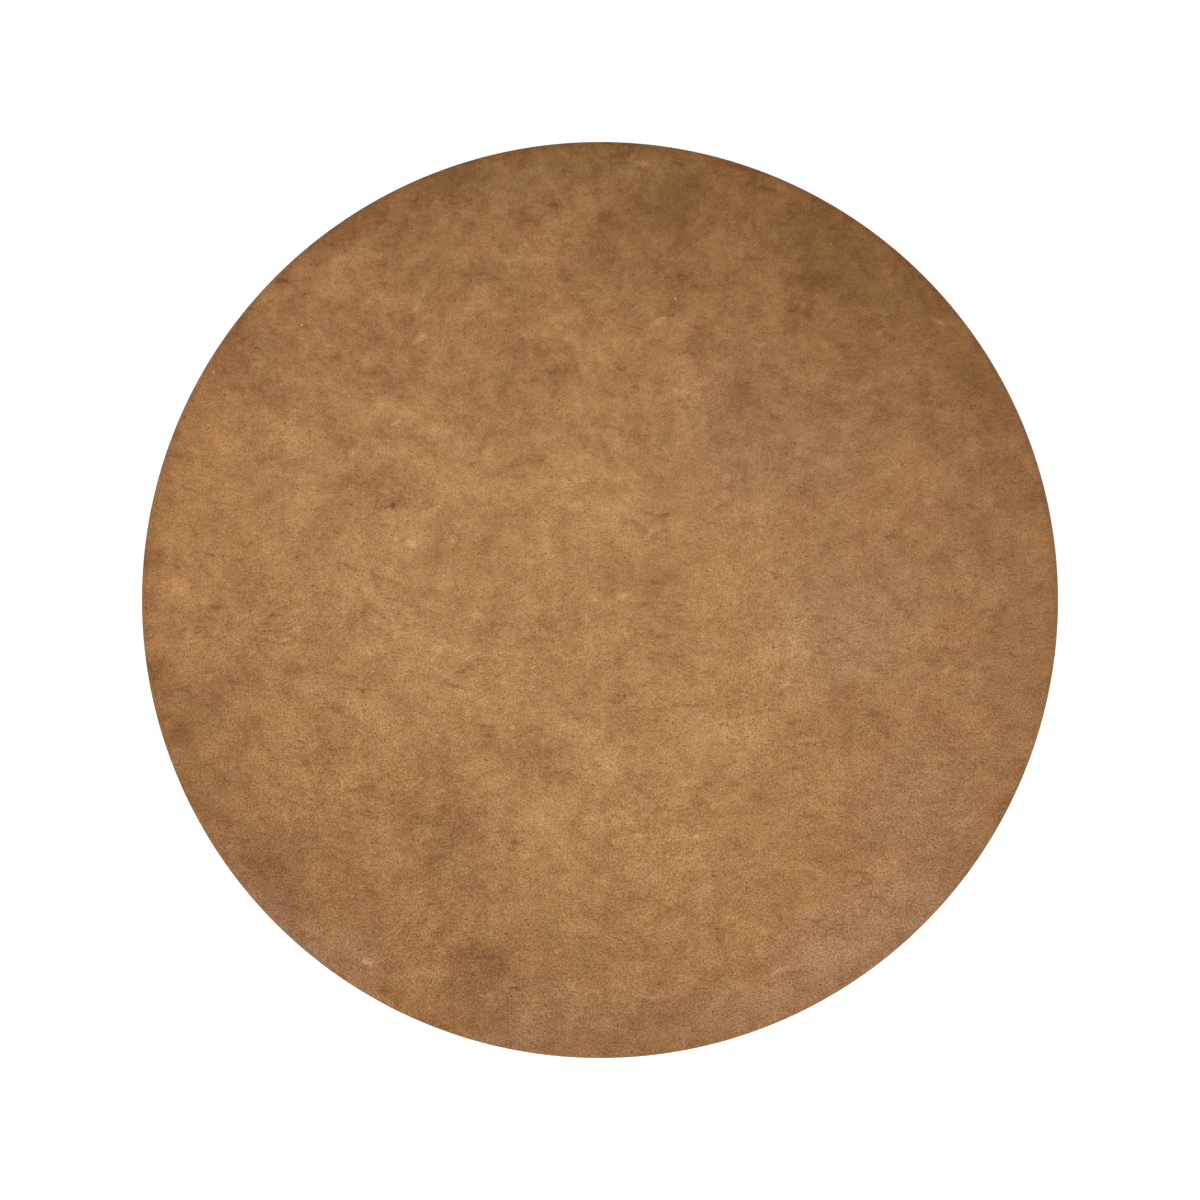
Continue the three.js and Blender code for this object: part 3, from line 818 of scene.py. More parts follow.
def make_cover():
    edge_start = TOP_RADIUS - COVER_EDGE
    profile = line((0, TOP), (edge_start, TOP), TOP_RINGS)
    profile += arc(edge_start, TOP - COVER_EDGE, COVER_EDGE, 1, 0, EDGE_RINGS)
    profile += line((TOP_RADIUS, TOP - COVER_EDGE), (TOP_RADIUS, APRON_BOTTOM + FOLD), APRON_RINGS)[1:]
    profile += arc(TOP_RADIUS - FOLD, APRON_BOTTOM + FOLD, FOLD, 0, -1, FOLD_RINGS)
    profile += arc(HEM_FACE + FOLD, APRON_BOTTOM + FOLD, FOLD, -1, -2, FOLD_RINGS)
    hem_end = (HEM_FACE, APRON_BOTTOM + HIDE + HEM)
    profile += line((HEM_FACE, APRON_BOTTOM + FOLD), hem_end, HEM_RINGS)[1:] + [hem_end]
    shape = spin(profile, COVER_STEPS)
    bmesh.ops.recalc_face_normals(shape, faces=shape.faces)
    for vertex in shape.verts:
        x, y, z = vertex.co
        radius = math.hypot(x, y)
        angle = math.atan2(y, x)
        inside = radius <= TOP_RADIUS - RIM_HOOP_THICKNESS
        if z > TOP - MM:
            low = 0.5 - 0.5 * noise.noise(Vector((x * SAGS_A_METRE, y * SAGS_A_METRE, 0)))
            vertex.co.z -= SAG * low * smooth((TOP_RADIUS - radius) / SAG_FADE)
        else:
            drop = smooth((TOP - COVER_EDGE - z) / GATHER_START)
            fold = 0.5 + 0.5 * ripple(angle, APRON_SEED, APRON_WAVES)
            vertex.co.xy *= 1 + (-1 if inside else 1) * GATHER * drop * fold / radius
            if inside:
                rise = smooth((z - APRON_BOTTOM - HEM / 2) / (HEM / 2))
                vertex.co.z += HEM_WANDER * ripple(angle, HEM_SEED, HEM_WAVES) * rise
    bmesh.ops.solidify(shape, geom=shape.faces, thickness=HIDE)
    piece = keep("cover_hide", shape, PIGSKIN, ["hide_cover"], sharp=60)


# The drum's slats

def drum_radius(height):
    """Radius of the scissor slats' layer: straight in the hoops and drawn in to the waist."""
    below = height < WAIST
    end_radius = FOOT_RADIUS if below else COLLAR_RADIUS
    end_reach = WAIST - FOOT_HOOP_TOP if below else COLLAR_LOW - WAIST
    share = (abs(height - WAIST) - WAIST_STRAIGHT) / (end_reach - WAIST_STRAIGHT)
    return WAIST_RADIUS + (end_radius - WAIST_RADIUS) * smooth(share)


def crossing_share(height):
    return smooth((MEETING_REACH - abs(height - WAIST)) / (MEETING_REACH - CROSSING_REACH))


SLAT_STEPS = 46
SLAT_EASE = 1.5 * MM
SLAT_STRAIGHT_END = 120 * MM
SLAT_FADE = 50 * MM
SLAT_WANDER = 0.7 * MM
WANDERS_A_METRE = 7
WIDTH_CHANGE = 0.035
WIDTHS_A_METRE = 11
# Where in the noise they are read: how far apart for one slat and the next, and at which depth
WANDER_PLACE = (5.3, 1.7)
WIDTH_PLACE = (3.1, 8.2)


def make_slat(name, node_name, number, base_angle, width, lean, end_offset, crossing_offset):
    shape = strip(2 * HALF_SLAT, width, SLAT_THICKNESS, SLAT_STEPS, SLAT_EASE, shift=LOG_LENGTH * number)

    def place(along, across, through):
        height = WAIST + along
        offset = end_offset + (crossing_offset - end_offset) * crossing_share(height)
        radius = drum_radius(height) + offset + through
        angle = base_angle + lean * HALF_SPAN * along / HALF_SLAT
        free = 1 - smooth((abs(along) - HALF_SLAT + SLAT_STRAIGHT_END) / SLAT_FADE)
        apart, depth = WANDER_PLACE
        wander = noise.noise(Vector((along * WANDERS_A_METRE, number * apart, depth)))
        apart, depth = WIDTH_PLACE
        own_edge = depth + math.copysign(1, across)
        change = noise.noise(Vector((along * WIDTHS_A_METRE, number * apart, own_edge)))
        wide = 1 + WIDTH_CHANGE * free * change
        return upright_to(angle, radius, height, across * wide + SLAT_WANDER * free * wander)

    lay(shape, place)
    keep(name, shape, CEDAR_SLAT, [node_name])


def make_slats():
    kinds = (("slat_right", "scissor_slat_right", 0, SCISSOR_WIDTH, 1, 0, LAYER / 2),
             ("slat_left", "scissor_slat_left", 0, SCISSOR_WIDTH, -1, 0, -LAYER / 2),
             ("slat_upright", "upright", PAIR_ANGLE / 2, UPRIGHT_WIDTH, 0, -LAYER, -LAYER / 2))
    for pair in range(PAIRS):
        for place, (name, node_name, turn, *sizes) in enumerate(kinds):
            make_slat(f"{name}_{pair + 1}", f"{node_name}_{pair + 1}", len(kinds) * pair + place,
                      pair * PAIR_ANGLE + turn, *sizes)


# Hoops of bent strip whose tapered ends lap

HOOP_STEPS = 180
HOOP_EASE = 1.6 * MM
LAP = 70 * MM
THINNEST = 0.03
FIRST_HOOP_LOG = 41


def make_hoop(name, node_name, outer, low, high, start, number):
    middle = outer - HOOP_THICKNESS / 2
    ring = math.tau * middle
    length = ring + LAP
    shape = strip(length, high - low, HOOP_THICKNESS, HOOP_STEPS, HOOP_EASE, shift=LOG_LENGTH * number)

    def place(along, across, through):
        run = along + length / 2
        if run < LAP:
            through = HOOP_THICKNESS / 2 - (HOOP_THICKNESS / 2 - through) * max(THINNEST, run / LAP)
        elif run > ring:
            share = max(THINNEST, (length - run) / LAP)
            through = -HOOP_THICKNESS / 2 + (through + HOOP_THICKNESS / 2) * share
        return upright_to(start + math.tau * run / ring, middle + through, (low + high) / 2 + across)

    lay(shape, place)
    keep(name, shape, CEDAR_HOOP, [node_name])


def ring_round_slats(layer_radius):
    return math.hypot(layer_radius + SLAT_THICKNESS / 2, SCISSOR_WIDTH / 2) + GAP


def inner_hoop_face(layer_radius):
    return layer_radius - LAYER - SLAT_THICKNESS / 2 - GAP


FOOT_HOOP_OUTER = ring_round_slats(FOOT_RADIUS) + HOOP_THICKNESS
COLLAR_HOOP_OUTER = ring_round_slats(COLLAR_RADIUS) + HOOP_THICKNESS
WAIST_HOOP_OUTER = WAIST_RADIUS - LAYER / 2 - SLAT_THICKNESS / 2 - GAP
FOOT_HOOP_FACE = inner_hoop_face(FOOT_RADIUS) - HOOP_THICKNESS
COLLAR_HOOP_FACE = inner_hoop_face(COLLAR_RADIUS) - HOOP_THICKNESS


def make_hoops():
    """Each hoop's lap starts at an angle of its own."""
    hoops = (("foot_ring_outer", "foot_hoop_outer", FOOT_HOOP_OUTER, 0, FOOT_HOOP_TOP, 2.0),
             ("foot_ring_inner", "foot_hoop_inner", inner_hoop_face(FOOT_RADIUS), 0, FOOT_HOOP_TOP, 4.1),
             ("waist_ring", "waist_hoop", WAIST_HOOP_OUTER, WAIST_HOOP_LOW, WAIST_HOOP_HIGH, 5.1),
             ("collar_ring_outer", "collar_hoop_outer", COLLAR_HOOP_OUTER, COLLAR_LOW, COLLAR_HIGH, 0.7),
             ("collar_ring_inner", "collar_hoop_inner", inner_hoop_face(COLLAR_RADIUS), COLLAR_LOW,
              COLLAR_HIGH, 3.4))
    for number, hoop in enumerate(hoops, FIRST_HOOP_LOG):
        make_hoop(*hoop, number)


# Hide cuffs with laced edges

CUFF_STEPS = 240
WALL_RINGS = 6
SLOPE_RINGS = 4
CUFF_EDGE = 3 * MM
CUFF_INNER_DROP = 24 * MM
FLARE_WAVES = (19, 31, 47)
LIP_WAVES = (7, 13, 22)
LIP_REACH = 30 * MM
LIP_FLARE = 0.48 * MM
LIP_WANDER = 1.2 * MM
COLLAR_SEED = 21
FOOT_SEED = 31
COLLAR_FACE = COLLAR_HOOP_OUTER + GAP + HIDE
COLLAR_LIP = ring_round_slats(drum_radius(COLLAR_CUFF_LOW)) + HIDE
COLLAR_INSIDE = COLLAR_HOOP_FACE - GAP - HIDE
FOOT_FACE = FOOT_HOOP_OUTER + GAP + HIDE
FOOT_LIP = ring_round_slats(drum_radius(FOOT_CUFF_TOP)) + HIDE


def make_cuff(name, node_name, profile, seed, lip_height):
    """A hide strip round the drum, its laced lip slightly flared and wavy."""
    shape = spin(profile, CUFF_STEPS)
    for vertex in shape.verts:
        x, y, z = vertex.co
        angle = math.atan2(y, x)
        near_lip = 1 - smooth(abs(z - lip_height) / LIP_REACH)
        flare = LIP_FLARE * near_lip * (1 + ripple(angle, seed, FLARE_WAVES))
        vertex.co.xy *= 1 + flare / math.hypot(x, y)
        vertex.co.z += LIP_WANDER * near_lip * ripple(angle, seed + 1, LIP_WAVES)
    bmesh.ops.recalc_face_normals(shape, faces=shape.faces)
    bmesh.ops.solidify(shape, geom=shape.faces, thickness=HIDE)
    piece = keep(name, shape, PIGSKIN_CUFF, [node_name], sharp=60)
    runs = [(math.dist(first, second), math.pi * (first[0] + second[0]))
            for first, second in zip(profile, profile[1:])]


def make_cuffs():
    profile = line((COLLAR_LIP, COLLAR_CUFF_LOW), (COLLAR_FACE, COLLAR_LOW), SLOPE_RINGS)
    profile += line((COLLAR_FACE, COLLAR_LOW), (COLLAR_FACE, COLLAR_CUFF_TOP - CUFF_EDGE), WALL_RINGS)
    profile += arc(COLLAR_FACE - CUFF_EDGE, COLLAR_CUFF_TOP - CUFF_EDGE, CUFF_EDGE, 0, 1, FOLD_RINGS)
    profile += arc(COLLAR_INSIDE + CUFF_EDGE, COLLAR_CUFF_TOP - CUFF_EDGE, CUFF_EDGE, 1, 2, FOLD_RINGS)
    profile += [(COLLAR_INSIDE, COLLAR_CUFF_TOP - CUFF_INNER_DROP)]
    make_cuff("collar_hide", "collar_cuff", profile, COLLAR_SEED, COLLAR_CUFF_LOW)

    profile = line((FOOT_FACE, FOOT_CUFF_LOW), (FOOT_FACE, FOOT_HOOP_TOP), WALL_RINGS)
    profile += line((FOOT_FACE, FOOT_HOOP_TOP), (FOOT_LIP, FOOT_CUFF_TOP), SLOPE_RINGS)
    profile += [(FOOT_LIP, FOOT_CUFF_TOP)]
    make_cuff("foot_hide", "foot_cuff", profile, FOOT_SEED, FOOT_CUFF_TOP)


# Flat thongs along a route through points

def route(points):
    """Returns a function from a distance to the spot and heading there, and the whole distance."""
    reaches = [0.0]
    for first, second in zip(points, points[1:]):
        reaches.append(reaches[-1] + (second - first).length)

    def at(distance):
        distance = min(max(distance, 0.0), reaches[-1])
        for place in range(len(points) - 1):
            if distance <= reaches[place + 1]:
                share = (distance - reaches[place]) / (reaches[place + 1] - reaches[place])
                run = points[place + 1] - points[place]
                return points[place] + run * share, run.normalized()
        return points[-1], (points[-1] - points[-2]).normalized()

    return at, reaches[-1]


def thong(points, width, thickness, steps, ease, shift, place, turns=1, left=1):
    """A flat thong laid along a route or wound round a closed one, on its left side or, with -1, its right:
    place(spot, share of the way, across) says where a point of the route's plane comes to lie."""
    at, once = route([Vector(point) for point in points])
    shape = strip(once * turns, width, thickness, steps, ease, 1, shift)
    for vertex in shape.verts:
        along, across, through = vertex.co
        run = max(along + once * turns / 2, 0.0)
        spot, heading = at(run % once if run < once * turns else once)
        spot = spot + Vector((-heading.y, heading.x)) * (left * (through + thickness / 2))
        vertex.co = place(spot, run / once, across)
    return shape


# Thong ties: turns round the slats and the hoop behind them

TIE_TURNS = 2
TIE_STEPS_A_TURN = 34
TIE_BEND = 2.4 * MM
TIE_BEND_STEPS = 3
TIE_PITCH = THONG_WIDTH * 1.04
TIE_EASE = 0.4 * MM


def round_box(low, high, half):
    """A box with round corners in a plane: x from low to high, y to half each side of its back's middle."""
    points = [(low, 0)]
    for x, y, quarter in ((low + TIE_BEND, -half + TIE_BEND, -2), (high - TIE_BEND, -half + TIE_BEND, -1),
                          (high - TIE_BEND, half - TIE_BEND, 0), (low + TIE_BEND, half - TIE_BEND, 1)):
        points += arc(x, y, TIE_BEND, quarter, quarter + 1, TIE_BEND_STEPS)
    return points + [(low, 0)]


def tie_turns(base_angle, front, back, half_width, half_height, side, lift, shift):
    """One thong wound round a crossing from corner to opposite corner."""
    slant = side * math.atan2(half_height, half_width)
    loop = round_box(back, front + lift, math.hypot(half_width, half_height))

    def place(spot, share, across):
        drift = across + TIE_PITCH * (share - TIE_TURNS / 2)
        upward = spot.y * math.sin(slant) + drift * math.cos(slant)
        sideways = spot.y * math.cos(slant) - drift * math.sin(slant)
        return upright_to(base_angle, spot.x, WAIST + upward, sideways)

    return thong(loop, THONG_WIDTH, THONG_THICKNESS, TIE_TURNS * TIE_STEPS_A_TURN, TIE_EASE, shift, place,
                 TIE_TURNS, -1)


KEEPER_TURNS = 2
KEEPER_WIDTH = 3.6 * MM
KEEPER_PITCH = KEEPER_WIDTH + 0.2 * MM
KEEPER_REACH = 8.2 * MM
KEEPER_STEPS = 16
KEEPER_EASE = 0.35 * MM
# The bend at either end of a keeper, from where its sides would meet, and how far its middle stands out
KEEPER_BEND = ((-0.6 * MM, -0.2 * MM), (0, -1.6 * MM))
KEEPER_RISE = 0.2 * MM
TAIL_LENGTH = (22 * MM, 34 * MM)
TAIL_CURL = (2 * MM, 6 * MM)
TAIL_LEAN = (0.15, 0.45)
TAIL_APART = 2.4 * MM
TAIL_SLIMMER = 0.9
# Along a loose tail: the share of its length, how far it stands off there, and the share of its curl
TAIL_PATH = ((0.2, 0.8 * MM, 0), (0.5, 1.2 * MM, 0), (0.8, 1.2 * MM, 0.3), (1, 1.2 * MM, 1))


def bent_thong(points, base_angle, sideways, lean, slimmer, shift):
    """A short thong through points of (outward, upward) at an angle round the drum, leaning to a side."""
    def place(spot, share, across):
        turn = base_angle + (sideways + across + lean * (points[0][1] - spot.y)) / spot.x
        return upright_to(turn, spot.x, WAIST + spot.y)

    return thong(points, KEEPER_WIDTH * slimmer, THONG_THICKNESS * slimmer, KEEPER_STEPS, KEEPER_EASE,
                 shift, place)


def keeper(base_angle, front, steady):
    """Two short turns over the middle of a tie that hold its two ends, which hang out below."""
    over = front + 2 * THONG_THICKNESS + GAP
    upper = [(front, KEEPER_REACH)] + [(over + out, KEEPER_REACH + up) for out, up in KEEPER_BEND]
    path = upper + [(over + KEEPER_RISE, 0)] + [(outward, -upward) for outward, upward in reversed(upper)]
    shapes = []
    for turn in range(KEEPER_TURNS):
        sideways = (turn - (KEEPER_TURNS - 1) / 2) * KEEPER_PITCH
        shapes.append(bent_thong(path, base_angle, sideways, 0, 1, steady.random()))
    for side in (-1, 1):
        length = steady.uniform(*TAIL_LENGTH)
        curl = steady.uniform(*TAIL_CURL)
        path = [(front, -KEEPER_REACH - GAP)]
        path += [(front + off + bend * curl, -KEEPER_REACH - share * length)
                 for share, off, bend in TAIL_PATH]
        lean = side * steady.uniform(*TAIL_LEAN)
        shapes.append(bent_thong(path, base_angle, side * TAIL_APART, lean, TAIL_SLIMMER, steady.random()))
    return shapes


def crossed_tie(base_angle, width, front, pair, shifts):
    """Two windings over a place where something of a width passes the waist hoop, one over the other."""
    half_width = width / 2 + GAP
    half_height = (WAIST_HOOP_HIGH - WAIST_HOOP_LOW) / 2 + GAP + TIE_BAND / 2
    back = math.sqrt((WAIST_HOOP_OUTER - HOOP_THICKNESS) ** 2 - half_width ** 2) - 2 * GAP
    return [tie_turns(base_angle, front, back, half_width, half_height, side, lift, pair + shift)
            for side, lift, shift in zip((1, -1), (0.0, THONG_THICKNESS), shifts)]


TIE_SEED = 5
# Where the two thongs of a tie are cut from the hide, apart from its pair's number
CROSSING_SHIFTS = (0, 135 * MM)
UPRIGHT_SHIFTS = (20, 20)


def make_ties():
    steady = random.Random(TIE_SEED)
    crossing_width = SCISSOR_WIDTH + TIE_BAND + 2 * SLOPE * WAIST_STRAIGHT
    crossing_front = WAIST_RADIUS + LAYER / 2 + SLAT_THICKNESS / 2 + 2 * GAP
    for pair in range(PAIRS):
        angle = pair * PAIR_ANGLE
        turns = crossed_tie(angle, crossing_width, crossing_front, pair, CROSSING_SHIFTS)
        turns += keeper(angle, crossing_front, steady)
        keep(f"tie_{pair + 1}", join(turns), THONG, [f"crossing_tie_{pair + 1}"], sharp=50)
        turns = crossed_tie(angle + PAIR_ANGLE / 2, UPRIGHT_WIDTH + TIE_BAND, crossing_front - LAYER,
                            pair, UPRIGHT_SHIFTS)
        keep(f"upright_tie_{pair + 1}", join(turns), THONG, sharp=50)


# Lacing over the cuffs' free edges

LACE_WIDTH = 3.4 * MM
LACE_THICKNESS = 1.3 * MM
LACE_DEPTH = 9 * MM
LACE_STEPS = 12
LACE_LIFT = 0.8 * MM
LACE_BEND = 1.5 * MM
LACE_SLANT = 0.55
COLLAR_STITCHES = 84
FOOT_STITCHES = 90
FOOT_LACE_SHIFT = 200
# One stitch from inside the hide, over the edge and back in: (outwards, down the wall)
STITCH_PATH = ((-0.6 * HIDE, LACE_DEPTH), (GAP, LACE_DEPTH), (GAP, LACE_BEND), (-0.4 * HIDE, -GAP),
               (-HIDE - GAP, LACE_BEND), (-HIDE - GAP, LACE_DEPTH))


def stitch(angle, advance, lip_radius, lip_height, wall_slope, upward, shift):
    """One slanting loop of lace over an edge: upward is 1 where the edge faces up, -1 where it faces down."""
    def place(spot, share, across):
        turn = angle + advance * share + across / lip_radius
        return upright_to(turn, lip_radius + spot.x + wall_slope * spot.y, lip_height - upward * spot.y)

    return thong(STITCH_PATH, LACE_WIDTH, LACE_THICKNESS, LACE_STEPS, 0, shift, place)


def make_laces():
    rows = (("collar_lace", COLLAR_STITCHES, COLLAR_LIP, COLLAR_CUFF_LOW, COLLAR_FACE, COLLAR_LOW, 0),
            ("foot_lace", FOOT_STITCHES, FOOT_LIP, FOOT_CUFF_TOP, FOOT_FACE, FOOT_HOOP_TOP, FOOT_LACE_SHIFT))
    for name, count, lip, lip_height, face, face_height, first_shift in rows:
        slope = (face - lip) / abs(face_height - lip_height)
        upward = math.copysign(1, lip_height - face_height)
        stitches = [stitch(math.tau * n / count, LACE_SLANT * math.tau / count, lip + LACE_LIFT,
                           lip_height, slope, upward, n + first_shift) for n in range(count)]
        keep(name, join(stitches), THONG, sharp=50)


# Tacks, nails and screws

STUD_SEGMENTS = 10
STUD_RINGS = 6
SCREW_SIDES = 18
SCREW_RADIUS = 4.2 * MM
SCREW_HEIGHT = 0.7 * MM
SLOT_SHARE = 0.14
SLOT_DEPTH = 0.5 * MM


def studs(name, places, radius, height):
    """Low domed heads: places are (point, direction the head faces)."""
    shape = bmesh.new()
    for point, facing in places:
        turn = facing.to_track_quat("Z", "Y").to_matrix().to_4x4()
        squash = Matrix.Diagonal((1, 1, height / radius, 1))
        bmesh.ops.create_uvsphere(shape, u_segments=STUD_SEGMENTS, v_segments=STUD_RINGS, radius=radius,
                                  matrix=Matrix.Translation(point) @ turn @ squash)
    keep(name, shape, IRON)


def screws(name, places):
    """Flat slotted heads: places are (point, direction the head faces, turn of the slot)."""
    heads = []
    for point, facing, slot_turn in places:
        head = bmesh.new()
        bmesh.ops.create_circle(head, cap_ends=True, segments=SCREW_SIDES, radius=SCREW_RADIUS)
        for side in (-1, 1):
            bmesh.ops.bisect_plane(head, geom=head.verts[:] + head.edges[:] + head.faces[:],
                                   plane_co=(0, side * SCREW_RADIUS * SLOT_SHARE, 0), plane_no=(0, 1, 0))
        rim = bmesh.ops.extrude_face_region(head, geom=head.faces[:], use_keep_orig=True)["geom"]
        lifted = [piece for piece in rim if isinstance(piece, bmesh.types.BMVert)]
        bmesh.ops.translate(head, vec=(0, 0, SCREW_HEIGHT), verts=lifted)
        slot = [face for face in rim if isinstance(face, bmesh.types.BMFace)
                and abs(face.calc_center_median().y) < SCREW_RADIUS * SLOT_SHARE]
        sunk = bmesh.ops.extrude_discrete_faces(head, faces=slot)["faces"]
        bmesh.ops.translate(head, vec=(0, 0, -SLOT_DEPTH), verts=[v for face in sunk for v in face.verts])
        turn = facing.to_track_quat("Z", "Y").to_matrix().to_4x4() @ Matrix.Rotation(slot_turn, 4, "Z")
        bmesh.ops.transform(head, matrix=Matrix.Translation(point) @ turn, verts=head.verts)
        heads.append(head)
    keep(name, join(heads), IRON)


TACK_HEAD = (4.5 * MM, 2 * MM)
NAIL_HEAD = (3 * MM, 1 * MM)
HEM_TACKS = 64
HEM_TACK_DROP = 7 * MM
HEM_TACK_STRAY = (0.15, 1 * MM)
CUFF_TACKS = 52
CUFF_TACK_RISE = 12 * MM
CUFF_TACK_STRAY = (0.12, 0.7 * MM)
COLLAR_NAIL_RISE = 20 * MM
NAIL_STRAY = 6 * MM
STUD_SEED = 12


def tack_row(name, count, radius, facing, height, strays, steady):
    """Tacks evenly round the table but for the hand's error: a share of their distance, and up or down."""
    stray, stray_height = strays
    places = []
    for n in range(count):
        angle = math.tau * (n + steady.uniform(-stray, stray)) / count
        level = height + steady.uniform(-stray_height, stray_height)
        places.append((upright_to(angle, radius, level), upright_to(angle, facing, 0)))
    studs(name, places, *TACK_HEAD)


def make_studs():
    steady = random.Random(STUD_SEED)
    tack_row("hem_tacks", HEM_TACKS, HEM_FACE - GATHER / 2, -1,
             APRON_BOTTOM + HEM - HEM_TACK_DROP, HEM_TACK_STRAY, steady)
    tack_row("foot_tacks", CUFF_TACKS, FOOT_FACE, 1, FOOT_CUFF_LOW + CUFF_TACK_RISE, CUFF_TACK_STRAY, steady)
    places = []
    for pair in range(PAIRS):
        for lean in (0, 1, -1):
            angle = (pair + 0.5) * PAIR_ANGLE + lean * (SCISSOR_WIDTH / 2 + SLAT_END_GAP) / FOOT_RADIUS
            drop = steady.uniform(-NAIL_STRAY, NAIL_STRAY)
            for face, height in ((FOOT_HOOP_FACE, FOOT_HOOP_TOP / 2),
                                 (COLLAR_HOOP_FACE, COLLAR_LOW + COLLAR_NAIL_RISE)):
                places.append((upright_to(angle, face, height + drop), upright_to(angle, -1, 0)))
    studs("hoop_nails", places, *NAIL_HEAD)


# Battens and blocks under the top

FIRST_BATTEN_LOG = 61
FIRST_BLOCK_LOG = 70
BATTEN_SLOPE = 14 * MM
BATTEN_EASE = 1.3 * MM
BLOCK_SIZE = Vector((34 * MM, 46 * MM, 44 * MM))
BLOCK_SLOPE = 12 * MM
BLOCK_EASE = 1.2 * MM
BLOCK_SCREW_REACH = 12 * MM
SCREW_SUNK = 0.4 * MM
SCREW_FROM_DRUM = 32 * MM
SCREW_FROM_END = 20 * MM
SCREW_ASIDE_SHARE = 1 / 4
SCREW_ACROSS_SHARE = 1 / 6
SCREW_SEED = 8


def pine_piece(name, node_name, size, slope, ease, place, number, is_sloped):
    """A sawn piece with some edges cut off slantwise and all edges eased."""
    shape = sawn(*size)
    ease_edges(shape, [edge for edge in shape.edges if is_sloped(*edge.verts)], slope, 1)
    ease_edges(shape, shape.edges[:], ease, 2)
    note_straight(shape, LOG_LENGTH * number)
    bmesh.ops.transform(shape, matrix=place, verts=shape.verts)
    keep(name, shape, PINE_PIECE, [node_name])


def make_batten(side, number):
    low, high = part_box(f"batten_{side}")
    pine_piece(f"cross_batten_{side}", f"batten_{side}", high - low, BATTEN_SLOPE, BATTEN_EASE,
               Matrix.Translation((low + high) / 2), number,
               lambda a, b: a.co.z < 0 and b.co.z < 0 and a.co.x * b.co.x > 0 > a.co.y * b.co.y)


def make_block(side, angle, number):
    """Makes one block and returns the places of its two screws."""
    depth, width, tall = BLOCK_SIZE
    outer = math.sqrt(COLLAR_INSIDE ** 2 - (width / 2) ** 2) - 2 * GAP
    middle = COLLAR_CUFF_TOP - tall / 2
    pine_piece(f"corner_block_{side}", f"fixing_block_{side}", BLOCK_SIZE, BLOCK_SLOPE, BLOCK_EASE,
               Matrix.Rotation(angle, 4, "Z") @ Matrix.Translation((outer - depth / 2, 0, middle)), number,
               lambda a, b: max(a.co.z, b.co.z, a.co.x, b.co.x) < 0)
    return [(upright_to(angle, outer - depth + SCREW_SUNK, middle + up * BLOCK_SCREW_REACH),
             upright_to(angle, -1, 0)) for up in (-1, 1)]


def batten_screws(node_name):
    """Two screws up into each plank, apart from where the drum's collar is in the way."""
    low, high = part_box(node_name)
    places = []
    for plank in range(PLANK_COUNT):
        for side in (-1, 1):
            x = (plank + 0.5) * PLANK_PITCH - TOP_RADIUS + side * PLANK_PITCH * SCREW_ASIDE_SHARE
            y = (low.y + high.y) / 2 + side * (high.y - low.y) * SCREW_ACROSS_SHARE
            clear = abs(math.hypot(x, y) - COLLAR_RADIUS) > SCREW_FROM_DRUM
            if clear and low.x + SCREW_FROM_END < x < high.x - SCREW_FROM_END:
                places.append((Vector((x, y, low.z + SCREW_SUNK)), Vector((0, 0, -1))))
    return places


def make_underframe():
    for number, side in enumerate(("front", "back"), FIRST_BATTEN_LOG):
        make_batten(side, number)
    places = batten_screws("batten_front") + batten_screws("batten_back")
    low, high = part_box("fixing_block_back_right")
    bearing = math.atan2(low.y + high.y, low.x + high.x)
    corners = (("back_right", bearing), ("back_left", math.pi - bearing),
               ("front_left", math.pi + bearing), ("front_right", -bearing))
    for number, (side, angle) in enumerate(corners, FIRST_BLOCK_LOG):
        places += make_block(side, angle, number)
    steady = random.Random(SCREW_SEED)
    screws("wood_screws", [place + (steady.uniform(0, math.pi),) for place in places])


def dress_nodes():
    for name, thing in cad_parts.items():
        if name.startswith("top_plank"):
            finish = PINE_PLANK
        elif name == "rim_hoop":
            finish = CEDAR_HOOP
        else:
            continue
        thing.data.materials.clear()
        thing.data.materials.append(finish)


# Floor, light and camera

FLOOR_SIZE = 30
PAPER = 0.95
FLOOR_GLOW = 0.67
PAPER_SEEN = 0.6


def empty_tree(thing):
    thing.use_nodes = True
    thing.node_tree.nodes.clear()
    return thing.node_tree


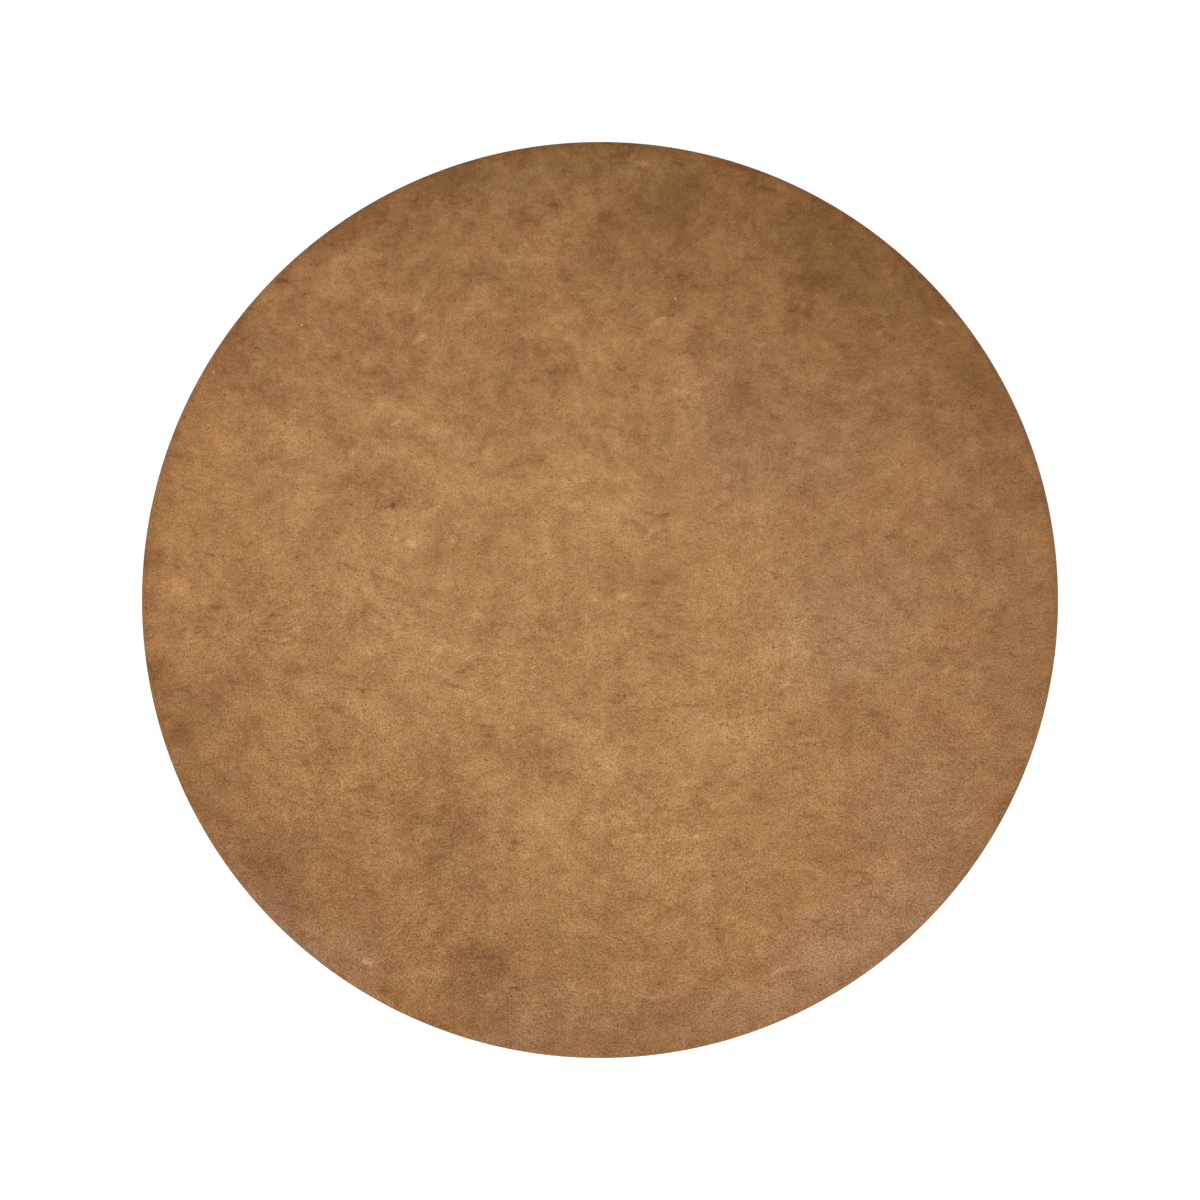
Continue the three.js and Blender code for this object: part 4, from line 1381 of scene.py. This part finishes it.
def seen_or_mirrored(tree):
    """1 for rays that the camera, a gloss or a glass sends, 0 for light that falls on things."""
    path = source(tree, "LightPath").outputs
    return calc("MAXIMUM", calc("MAXIMUM", path["Is Camera Ray"], path["Is Glossy Ray"]),
                path["Is Transmission Ray"])


def make_floor():
    shape = bmesh.new()
    bmesh.ops.create_grid(shape, x_segments=1, y_segments=1, size=FLOOR_SIZE)
    material = bpy.data.materials.new("studio_floor")
    seen = seen_or_mirrored(empty_tree(material))
    paper = node("BsdfDiffuse", {"Color": sum_of(seen, PAPER_SEEN - PAPER, PAPER)})
    glow = node("Emission", {"Color": (1, 1, 1, 1), "Strength": times(seen, FLOOR_GLOW)})
    both = node("AddShader", {0: paper.outputs[0], 1: glow.outputs[0]})
    node("OutputMaterial", {"Surface": both.outputs[0]})
    floor = put("floor", mesh_of("floor", shape))
    floor.data.materials.append(material)


WORLD_LIGHT = 0.56
LAMPS = (
    ("lamp_left", (-3.2, -2.8, 6.6), 190),
    ("lamp_right", (3.6, -1.0, 6.2), 105),
)
LAMP_SIZE = 4


def make_light():
    world = bpy.data.worlds.new("studio")
    bpy.context.scene.world = world
    strength = sum_of(seen_or_mirrored(empty_tree(world)), 1 - WORLD_LIGHT, WORLD_LIGHT)
    sky = node("Background", {"Color": (1, 1, 1, 1), "Strength": strength})
    node("OutputWorld", {"Surface": sky.outputs[0]})
    for name, place, watts in LAMPS:
        lamp = bpy.data.lights.new(name, "AREA")
        lamp.shape = "SQUARE"
        lamp.size = LAMP_SIZE
        lamp.energy = watts
        holder = put(name, lamp)
        holder.location = place
        holder.rotation_euler = (Vector((0, 0, TOP)) - Vector(place)).to_track_quat("-Z", "Y").to_euler()


LENS = 70
SENSOR = 36


def make_camera():
    camera = bpy.data.cameras.new("camera")
    camera.lens = LENS
    camera.sensor_width = SENSOR
    holder = put("camera", camera)
    widest = TOP - COVER_EDGE
    holder.location = (0, 0, widest + FRAME_PX * PX * LENS / SENSOR)
    bpy.context.scene.camera = holder


bpy.context.scene.view_settings.view_transform = "Standard"

make_camera()
make_light()
make_floor()
dress_nodes()
make_cover()
make_slats()
make_hoops()
make_cuffs()
make_ties()
make_laces()
make_studs()
make_underframe()
